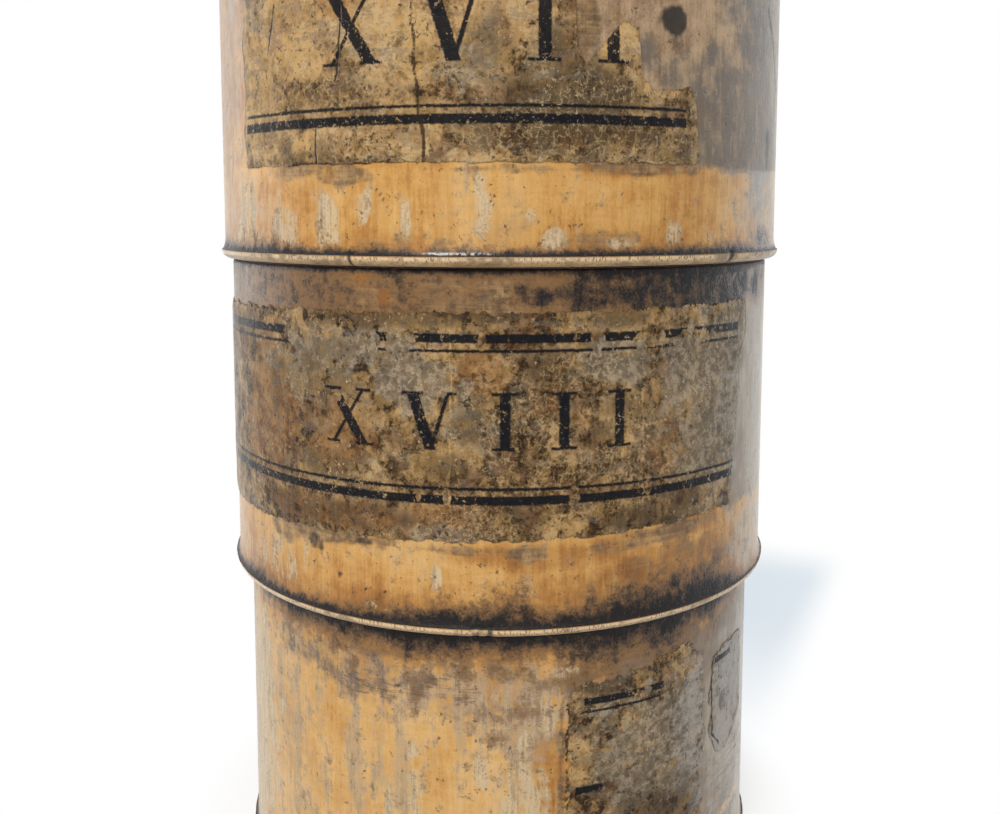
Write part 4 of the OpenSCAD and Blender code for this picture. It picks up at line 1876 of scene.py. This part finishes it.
# Depth of the grime above each rim, and of the painted shade with grime under each seam, at degrees round the
# tower.
TIER_1_SEAM: Depths = (
    (-65, 0.9), (-55, 1.6), (-45, 1.6), (-35, 2.2), (-25, 1.7), (-15, 2.2), (-5, 1.8), (5, 2.2),
    (15, 3.2), (45, 3.2), (55, 1.8), (65, 1.0), (100, 1.4), (150, 1.0), (200, 1.9), (250, 1.2),
)
TIER_2_COVE: Depths = (
    (-65, 1.7), (-55, 2.2), (-45, 1.8), (-25, 2.0), (-15, 2.9), (-5, 2.9), (5, 3.6), (15, 3.1), (25, 3.4),
    (35, 4.4), (45, 3.8), (55, 1.5), (65, 1.2), (110, 2.4), (160, 1.6), (200, 2.6), (250, 1.7),
)
TIER_2_SEAM: Depths = (
    (-65, 0.4), (-45, 0.6), (-35, 0.7), (-15, 0.55), (-5, 0.6), (5, 0.5), (14, 0.6), (25, 2.3), (45, 3.0),
    (55, 1.2), (65, 0.6), (120, 1.5), (170, 0.9), (220, 1.8), (260, 0.9),
)
TIER_3_COVE: Depths = (
    (-65, 2.0), (-45, 2.0), (-30, 1.8), (0, 1.75), (60, 1.85), (120, 2.3), (180, 1.6), (230, 2.6),
)
# Marks of each cup and label. Those of the top tier are guessed.
TIER_1_MARKS: Marks = (
    # Painted shade with grime just under the seam.
    *spots(Wear.GRIME_AND_SHADE, (-16, 38.0, 2.2, 1.2, 0.8)),
    *spots(
        Wear.SHADE, (-36, 35, 18, 4, 0.35), (2, 34.6, 9, 4, 0.45), (32, 35, 12, 5, 0.8),
        (-56, 37, 9, 2.5, 0.5), (9, 25, 4, 9, 0.6),
    ),
    *spots(
        Wear.DEEP, (-14, 37.6, 28, 2.2, 0.6), (14, 37.2, 12, 2.0, 0.45), (32, 35, 11, 3.6, 0.85),
        (-36, 34.6, 12, 3.4, 0.36), (-2, 34.6, 10, 2.4, 0.36), (11.6, 24, 0.5, 9, 0.8),
        (1.8, 35.2, 4, 1.6, 0.6),
    ),
    *spots(
        Wear.STREAK, (-52, 22, 14, 20, 0.66), (-26, 24, 11, 16, 0.56), (-4, 22, 11, 12, 0.3),
        (9, 31, 4, 5, 0.7), (-2, 33.4, 12, 3.6, 0.8), (14, 35, 5, 1.6, 0.7), (-26, 34, 14, 3, 0.6),
        (-19, 32.6, 6, 4, 0.72), (4, 29.6, 7, 4, 0.74), (-10, 29.4, 4, 4, 0.66),
    ),
    # The first pale strip, down the left edge, is a painted highlight; the other pale spots are worn places.
    *spots(
        Wear.PALE, (-70, 22, 9, 20, 1.2), (4.8, 25, 0.9, 3.2), (5.7, 19.5, 0.9, 2.6),
        (-3.2, 23, 0.8, 2.0), (1.6, 18.5, 0.9, 2.4), (9.2, 30, 1.6, 4, 0.65), (5.5, 31, 4, 4, 0.5),
        (3, 21, 2.4, 5, 0.52), (8, 19, 2.2, 6, 0.55), (-1, 31, 3, 3, 0.45), (28, 36.2, 3.5, 1.0, 0.4),
        (14.2, 34.8, 2.5, 1.0, 0.8), (-15, 34.4, 3, 1.2, 0.6), (-16, 21, 0.9, 6, 0.7),
        (-21.5, 14, 0.9, 6, 0.7),
    ),
    # Grey towards the right edge is greyed varnish with painted sheen.
    Pane(Wear.GREY, 13, 76, 9.5, 33.5),
    *spots(
        Wear.GREY, (44, 34.4, 16, 3.4, 0.55), (-32, 34.6, 18, 3, 0.45), (62, 35, 12, 4),
        (66, 6, 8, 4, 0.7),
    ),
    # Haze on the right side: painted sheen over a milky bloom.
    *spots(Wear.HAZE_AND_SHEEN, (66, 20, 9, 20, 0.62), (54, 22, 6, 12, 0.66), (62, 36, 7, 2, 0.3)),
    *spots(
        Wear.BARE, (0, 32.6, 12, 4.6, 0.56), (-22, 33, 11, 4.4, 0.5), (6, 28, 6, 5, 0.46),
        (-42, 33, 9, 4, 0.4),
    ),
    *spots(Wear.SCRATCH, (-24, 32.2, 6, 1.6, 0.8), (-8, 33.5, 5, 2.0, 0.7), (60, 14, 8, 7, 0.8)),
    *spots(Wear.STAIN, (-19.6, 32.9, 0.45, 0.4, 0.8)),
)
TIER_2_MARKS: Marks = (
    *spots(
        Wear.DEEP, (-50, 36.8, 28, 4.4, 1.0), (0, 36.8, 14, 4.2, 0.9), (22, 36.8, 9, 4.2, 0.6),
        (38, 6, 9, 3.4, 0.5), (4.4, 9.4, 2.0, 0.9, 0.9), (-33, 10.2, 8, 1.2, 0.8),
        (-44, 9.4, 3, 1.4, 0.6), (-8, 9.8, 5, 0.7, 0.65), (40, 37.5, 16, 3.4), (24, 9.6, 7, 0.8, 0.6),
        (33, 10.5, 7, 1.0, 0.85),
    ),
    *spots(
        Wear.SHADE, (-22, 37, 50, 4.8, 0.85), (-48, 37, 20, 4, 0.5), (36, 6, 10, 3.6, 0.6),
        (11, 9, 7, 1.8, 0.6), (3, 9.3, 9, 1.2, 0.5), (12, 5.8, 5, 2, 0.45), (38, 10.4, 5, 1.4, 0.6),
    ),
    # Painted shade with grime just under the seam.
    *spots(Wear.GRIME_AND_SHADE, (38, 37.4, 22, 3.2, 0.8), (-50, 37.2, 24, 3.6, 0.5)),
    *spots(
        Wear.STAIN, (-36, 8.9, 0.8, 0.9, 0.7), (-34.4, 8.4, 0.6, 0.6, 0.6), (-24.6, 9.9, 1.4, 0.5, 0.7),
        (-1.6, 0.8, 0.3, 1.2, 0.95), (-4.2, 0.3, 0.25, 0.8, 0.8), (-30, 5.6, 0.3, 0.4, 0.8),
        (-24.5, 4.4, 0.25, 0.3, 0.9), (-20.4, 4.4, 0.22, 0.25, 0.9),
    ),
    # Haze at the sides: painted sheen over a milky bloom.
    *spots(Wear.HAZE_AND_SHEEN, (65, 22, 9, 17, 0.62), (63, 7, 9, 5, 0.6), (-60, 6, 10, 4.6, 0.3)),
    # Grey near the right edge: greyed varnish with painted sheen.
    Pane(Wear.GREY, 48, 70, 11, 39.5, 0.95, 2.5),
    *spots(Wear.GREY, (-64, 37, 8, 3.4, 0.35), (-14, 37.6, 12, 2, 0.3)),
    *spots(Wear.SCRATCH, (-46, 37.2, 11, 1.9, 0.6), (-22, 37.0, 9, 1.6, 0.55), (2, 37.0, 8, 1.4, 0.5)),
    *spots(
        Wear.PALE, (-46, 5.4, 8, 3.4, 0.42), (-10.9, 7, 0.6, 1.6, 0.85), (-23.6, 2.6, 0.8, 0.4, 0.9),
        (-20, 2.4, 0.5, 0.3, 0.9),
    ),
)
TIER_3_MARKS: Marks = (
    # The pale strip at -66 degrees, down the left edge, is a painted highlight; the other pale spots are worn
    # places.
    *spots(
        Wear.PALE, (-3, 5.6, 1.1, 4.4, 0.8), (-30, 4.0, 1.6, 3.0, 0.8), (-40.5, 3.4, 2.6, 2.2, 0.7),
        (-56, 5, 4.0, 5, 0.65), (5, 5, 0.8, 1.1, 0.8), (8.7, 3, 1.4, 1.5, 0.9),
        (30.6, 3.4, 1.1, 1.9, 0.8), (20, 2.4, 2.6, 0.8, 0.7), (-66, 24, 5, 14, 0.3),
        (-23, 6.2, 0.9, 2.4, 0.65), (-15.4, 4.4, 0.6, 2.2, 0.7), (40, 3, 1.2, 1.2, 0.6),
    ),
    *spots(
        Wear.DEEP, (-27, 9.2, 4, 1.0, 0.7), (28, 10.0, 5, 0.8, 0.75), (-37, 10.0, 5, 0.8, 0.75),
        (13, 23, 2.0, 3.2, 0.8), (20, 9.9, 8, 0.5, 0.6), (-40, 9.6, 3, 0.8, 0.6), (2, 9.8, 6, 0.5, 0.6),
        (50, 10.6, 10, 0.9, 0.6), (18, 2.6, 6, 1.2, 0.45), (-16, 2.6, 6, 0.9, 0.4),
    ),
    Pane(Wear.BARE, 10, 97, 10.4, 38.6),
    Pane(Wear.GREY, 35, 66, 10.5, 17.5, 0.95, 2.0),
    *spots(
        # Grey near the right edge, at 58 and 64 degrees: greyed varnish with painted sheen.
        Wear.GREY, (58, 20, 9, 13, 0.9), (64, 32, 8, 8, 0.8), (22, 21, 4, 2.4, 0.85),
        (38, 19.5, 8, 3.4, 0.75), (-58, 26, 3, 10, 0.4),
    ),
    # Haze at the sides: painted sheen over a milky bloom.
    *spots(
        Wear.HAZE_AND_SHEEN, (71, 24, 7, 14, 0.6), (56, 19, 6, 4, 0.3), (62, 6, 14, 6, 0.4), (-60, 24, 6, 13, 0.35),
        (-52, 5.5, 12, 5, 0.36),
    ),
    *spots(Wear.SHADE, (-58, 24, 9, 13, 0.45), (25, 10.2, 7, 1.0, 0.6)),
    *spots(
        Wear.STAIN, (30.6, 24.8, 1.6, 1.6, 1.0), (31, 22.6, 1.0, 1.4, 0.45), (61.5, 12.8, 1.1, 2.2, 0.75),
        (-25.6, 0.8, 0.28, 1.0, 0.95), (45.3, 0.8, 0.28, 1.0, 0.85),
    ),
    *spots(Wear.GLOSS, (-6, 2.0, 5.0, 1.0, 1.0), (-15, 1.9, 3, 0.8, 0.7), (5, 2.0, 3, 0.8, 0.7)),
    *spots(Wear.GRIME_AND_SHADE, (60, 2.0, 4.5, 1.7, 0.6)),
    Stroke(Wear.STAIN, (60, 28.2), (69, 20), 0.35),
    Stroke(Wear.STAIN, (-20.5, 7.8), (-17.8, 5.4), 0.16, 0.6),
)
TIER_4_MARKS: Marks = (
    *spots(Wear.PALE, (12, 6, 1.4, 4), (-24, 5, 2.2, 3), (40, 4, 3, 2.5), (-60, 6, 4, 4, 0.8)),
    *spots(Wear.BARE, (-44, 30, 8, 5)),
    # Grey near both edges: greyed varnish with painted sheen.
    *spots(Wear.GREY, (66, 22, 7, 14, 0.55), (-66, 18, 6, 9, 0.45)),
    *spots(Wear.STAIN, (-38, 6.5, 1.2, 1.0)),
    *spots(Wear.DEEP, (5, 37.8, 30, 2.2, 0.8)),
    *spots(Wear.GRIME_AND_SHADE, (20, 2.2, 7, 1.2, 0.7)),
)
LABEL_1_MARKS: Marks = (
    # Grey and haze towards the right end: painted sheen on greyed paper.
    *spots(Wear.GREY, (34, 24, 12, 9, 0.7)),
    *spots(Wear.HAZE_AND_SHEEN, (46, 24, 6, 11, 0.55)),
    *spots(Wear.LIGHT, (15, 23.6, 2.2, 3.2, 0.9)),
    *spots(Wear.DEEP, (34, 16, 6, 4, 0.6), (20, 33, 4, 1.2, 0.7)),
    *spots(Wear.SCUFF, (28, 31, 2.5, 0.7, 0.6)),
    Stroke(Wear.CRACK, (12.6, 32), (12.8, 18), 0.2, 0.55),
)
FLAKE_MARKS: Marks = (
    # Grey and haze: painted sheen on greyed paper.
    *spots(Wear.GREY, (57, 27, 8, 9)),
    *spots(Wear.HAZE_AND_SHEEN, (59, 28, 6, 8, 0.8), (54, 21, 4, 4, 0.9)),
    *spots(Wear.DEEP, (54, 25, 1.2, 1.6, 0.8)),
    Stroke(Wear.CRACK, (49.2, 32), (49.4, 21.5), 0.16),
    Stroke(Wear.CRACK, (49.4, 21.5), (52.5, 19.6), 0.16, 0.9),
)
LABEL_2_MARKS: Marks = (
    *spots(
        Wear.RUST, (-49, 22, 6, 9, 0.75), (-29, 22, 4, 4, 0.8), (-3, 29, 3.4, 2.4, 0.8),
        (-12, 13, 5, 2.4, 0.75), (32, 21, 4, 4, 0.6), (7, 26, 2, 1.4, 0.6), (-32, 13, 13, 2, 0.65),
    ),
    *spots(
        Wear.GREY, (-14, 28, 6, 3, 0.75), (21, 30, 6, 2.4, 0.75), (-10, 11.5, 3, 1.4, 0.75),
        (46, 25, 10, 11, 0.85), (-5, 24, 3, 2.6, 0.6), (38, 30, 7, 4, 0.6), (-30, 30, 7, 2, 0.6),
        (-24, 31.5, 9, 2.4, 0.7), (-40, 29, 6, 3, 0.6),
    ),
    *spots(
        Wear.CRAZE, (3, 24, 7, 6, 0.8), (10, 17, 8, 4, 0.8), (-5, 13, 6, 3, 0.8), (12, 29, 4, 2.6),
        (24, 18, 7, 5, 0.6),
    ),
    *spots(
        Wear.DEEP, (-3, 35.2, 6, 0.9, 0.75), (-35, 28, 7, 2, 0.4), (24, 12.6, 5, 1.4, 0.55),
        (-54, 32, 5, 2.5, 0.4), (8, 29.4, 3.4, 2.2, 0.5), (-32, 18, 4, 2, 0.5), (-32, 31, 4, 1.6, 0.4),
        (-3.5, 24, 3, 3, 0.45), (-34, 13, 12, 1.6, 0.5), (23, 34.8, 4, 1, 0.5), (4, 14, 4, 1.6, 0.45),
        (-46, 26, 1.2, 4, 0.5), (-18, 34.8, 13, 1.3, 0.55), (9, 34.9, 9, 1.1, 0.2), (37, 14, 3, 1.6, 0.7),
        (7, 25.6, 3, 2, 0.4), (23, 25, 3, 2, 0.45), (30, 11.4, 4, 1.2, 0.6), (-8.7, 19.2, 3, 1.6, 0.45),
        (17.4, 22.2, 3, 1.6, 0.45),
    ),
    *spots(
        Wear.SCUFF, (-32, 32.3, 7.4, 1.6), (-17.5, 32.4, 2.6, 1.2, 0.8), (27, 32.2, 2.0, 1.2),
        (38, 32.2, 3.2, 1.2, 0.8), (-10, 27, 0.9, 0.6), (4, 21.2, 0.8, 0.6), (-30, 26, 0.9, 0.7),
        (17, 32.4, 0.7, 1.2, 0.9), (-3, 32.4, 0.5, 1.2, 0.8), (-9, 15.8, 0.4, 0.9), (13, 15.8, 0.5, 0.9),
        (27, 15.8, 0.5, 0.9), (-14, 15.8, 0.4, 0.7),
    ),
    *spots(
        Wear.LIGHT, (-16.8, 25.2, 0.6, 0.6), (-12, 33.5, 4, 1.2, 0.3), (-3, 29, 2.2, 1.6, 0.6),
        (22, 22, 3, 3, 0.5), (10, 33.6, 2.4, 0.8, 0.4), (12, 12.5, 3, 1.4, 0.65), (-23, 12, 5, 1.4, 0.5),
        (-26, 24, 1.2, 2.4, 0.5), (14, 24, 1.4, 2.4, 0.5),
    ),
    # Haze at both ends, like the grey at 46 degrees, is painted sheen.
    *spots(Wear.HAZE_AND_SHEEN, (50, 22, 4, 11, 0.34), (-76, 22, 5, 14, 0.4)),
    Stroke(Wear.LIGHT, (-39.4, 35.2), (-35.8, 31.5), 0.5, 1.6),
    Stroke(Wear.LIGHT, (54.9, 33), (50.2, 11.5), 0.3, 0.9),
    Stroke(Wear.LIGHT, (-8.6, 35), (-8.2, 11.5), 0.16, 0.7),
    Stroke(Wear.LIGHT, (25.6, 27), (26.2, 12), 0.16, 0.7),
)
LABEL_3_MARKS: Marks = (
    *spots(
        Wear.LIGHT, (-38, 24, 9, 6, 0.8), (-20, 26, 6, 5, 0.75), (-44, 14, 5, 4, 0.7),
        (-28, 12.3, 8, 1.8, 0.8), (-21, 13, 4, 2, 0.7), (-17.6, 13.2, 2.4, 1.6, 0.7),
        (-6, 26, 3.5, 4, 0.7), (5, 25, 3, 4, 0.7), (20.5, 22.4, 2.4, 2.2, 0.7), (28.5, 18, 2.0, 1.0),
        (-4, 11, 5, 0.9, 0.6), (-13, 12.6, 3.5, 1.8, 0.75), (-11, 21.5, 4, 4, 0.75),
        (-47, 20, 5, 8, 0.85),
    ),
    *spots(
        Wear.DEEP, (12, 17, 9, 2.6, 0.75), (-3.3, 13.2, 3, 1.6, 0.55), (8, 13.2, 6, 1.6, 0.75),
        (21, 13.2, 5, 1.6, 0.75), (11, 20.5, 3, 3, 0.6), (-45, 14, 3, 2, 0.55), (30, 12, 4, 2, 0.5),
        (-1, 22, 3, 3, 0.4), (-28, 17.6, 8, 1.4, 0.4), (-45, 18, 3, 2.5, 0.4), (-40, 12.4, 1.4, 1.6, 0.5),
        (-36, 10.9, 5, 1.0, 0.6),
    ),
    *spots(
        Wear.CRAZE, (8, 12.8, 10, 2.4), (22, 12.5, 7, 2.4), (-30, 17.4, 9, 1.8), (-24, 12, 4, 2, 0.8),
        (15, 17, 8, 2, 0.7),
    ),
    *spots(Wear.RUST, (-27, 27, 3, 3, 0.7), (0, 24, 4, 3, 0.5), (10, 23, 3, 4, 0.5)),
    *spots(Wear.GREY, (8, 18, 7, 3, 0.5), (-6, 20, 4, 3, 0.6), (-50, 28, 4, 4, 0.5)),
    Stroke(Wear.CRACK, (-13.6, 20.4), (-12.1, 10.2), 0.2, 0.7),
    Stroke(Wear.CRACK, (-32.1, 14.2), (-32.2, 10.4), 0.16, 0.8),
    Stroke(Wear.CRACK, (-41.9, 27), (-44, 22), 0.16, 0.8),
    Stroke(Wear.CRACK, (-14.5, 30), (-13.6, 20.4), 0.2, 0.55),
    Stroke(Wear.CRACK, (-26.5, 30), (-27.5, 19), 0.15, 0.75),
    Stroke(Wear.CRACK, (-40, 10.4), (-14, 10.6), 0.2, 0.6),
    Stroke(Wear.LIGHT, (24.6, 18), (22.4, 11.5), 0.4),
)
LABEL_4_MARKS: Marks = (
    *spots(Wear.RUST, (20, 22, 7, 6)),
    *spots(Wear.GREY, (-30, 16, 8, 4), (46, 22, 6, 8, 0.8)),
    *spots(Wear.LIGHT, (36, 28, 7, 5), (-6, 26, 8, 5, 0.8)),
    *spots(Wear.DEEP, (0, 13, 12, 2.4, 0.7)),
    *spots(Wear.CRAZE, (-12, 20, 8, 6), (24, 14, 8, 3)),
    *spots(Wear.SCUFF, (26, 32.2, 5, 1.6), (-10, 15.6, 4, 1.4)),
    Stroke(Wear.CRACK, (30, 35), (33, 22), 0.22),
)


def rules(left: float, right: float, foot: float = 15.45) -> tuple[Rule, ...]:
    """The thick and thin rules along a label's foot and head.

    Args:
        left: Where they start, in millimetres round the wall.
        right: Where they end.
        foot: Height of the lowest.

    Returns:
        The rules.
    """
    heights = ((foot, 0.98), (foot + 1.25, 0.34), (32.7, 0.95), (31.4, 0.34))
    return tuple(Rule(height, thick, left, right) for height, thick in heights)


def labels(cups: dict[int, Cup]) -> list[Label]:
    """The tower's labels, each with the outline that is left of it.

    Args:
        cups: The cups by tier.

    Returns:
        The labels from the bottom up.
    """
    scrap = Print((Rule(31.2, 0.85, 10.0, 21.2), Rule(30.0, 0.3, 9.6, 20.6), Rule(20.5, 0.85, 9.0, 12.4)))
    large = {"middle": -3.0, "foot": 20.1, "capital": 7.2, "gap": 3.8, "stem": 1.35}
    return [
        Label(
            cups[1], "tier_1_label", 12.2, 46.5,
            upper=((12, 0.84), (16, 0.93), (30, 0.95), (40, 1.0), (46.5, 0.9)),
            lower=((12, 0.0), (46.5, 0.0)),
            printed=scrap, marks=LABEL_1_MARKS, tone=-0.06, outline=0.1, thick=0.09, fray=1.5, columns=180,
        ),
        Label(
            cups[1], "tier_1_flake", 48.7, 66.5,
            upper=((48.7, 0.78), (50, 0.85), (56, 0.89), (66, 0.87)),
            lower=((48.7, 0.43), (52, 0.31), (60, 0.32), (66, 0.42)),
            printed=Print((Rule(31.0, 0.7, 31.5, 36.0),)), marks=FLAKE_MARKS, tone=-0.04, outline=0.12,
            thick=0.16, fray=0.5, columns=110, rows=50,
        ),
        Label(
            cups[2], "tier_2_label", -80, 53.2,
            upper=((-80, 0.98), (0, 1.0), (57, 1.01)),
            lower=((-80, -0.03), (0, 0.015), (55, 0.04)),
            printed=Print(rules(-44, 32.3), "XVIII", gap=3.5), marks=LABEL_2_MARKS, outline=0.16, fray=0.42,
            lean=5.7, tear=0.4, columns=480,
        ),
        Label(
            cups[3], "tier_3_label", -53.5, 36,
            upper=(
                (-54, 1.0), (9, 1.0), (12, 0.8), (12.4, 0.46), (14, 0.39), (16.3, 0.44), (20.5, 0.56),
                (23.2, 0.53), (24, 0.33), (26.5, 0.295), (30, 0.30), (34, 0.32), (35, 0.28), (36, 0.05),
            ),
            lower=((-54, 0.0), (38, 0.0)),
            printed=Print(rules(-32.6, 20.6, 14.65), "XVII", **large), marks=LABEL_3_MARKS, tone=0.14,
            columns=420,
        ),
        Label(
            cups[4], "tier_4_label", -55, 55,
            upper=((-55, 0.58), (-38, 0.62), (-33, 0.8), (-22, 0.85), (-18, 1.0), (55, 1.0)),
            lower=((-55, 0.0), (55, 0.0)),
            printed=Print(rules(-33, 33, 14.65), "XVI", **large), marks=LABEL_4_MARKS, tone=0.03,
            columns=420,
        ),
    ]


def main() -> None:
    """Loads the frame, builds every piece in order, and sets up the studio."""
    logging.basicConfig(level=logging.INFO, format="%(name)s %(message)s")
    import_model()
    sizes = TowerSizes.from_frame()
    varnish = AgedVarnish().material()
    floor_wood = FloorWood().material()
    cups = {
        1: Cup(sizes, 1, TIER_1_MARKS + scattered(61), (-58.0, 33.0), 0.19, seam=TIER_1_SEAM),
        2: Cup(sizes, 2, TIER_2_MARKS + scattered(62), (-4.0, -2.0), 0.06, TIER_2_COVE, TIER_2_SEAM),
        3: Cup(sizes, 3, TIER_3_MARKS + scattered(63), (-25.6, 45.3), 0.05, TIER_3_COVE),
        4: Cup(sizes, 4, TIER_4_MARKS + scattered(64), (12.0,), 0.02),
    }
    for tier, cup in cups.items():
        cup.piece().make(varnish)
        FloorDisc(sizes, tier).piece().make(floor_wood)
    for label in labels(cups):
        paper = AgedPaper(f"{label.name}_finish", label.printed, label.outline, label.fray)
        label.piece().make(paper.material())
    lid = Lid(sizes)
    lid.cap().make(varnish)
    lid.button().make(varnish)
    Studio().build()


if __name__ == "__main__":
    main()
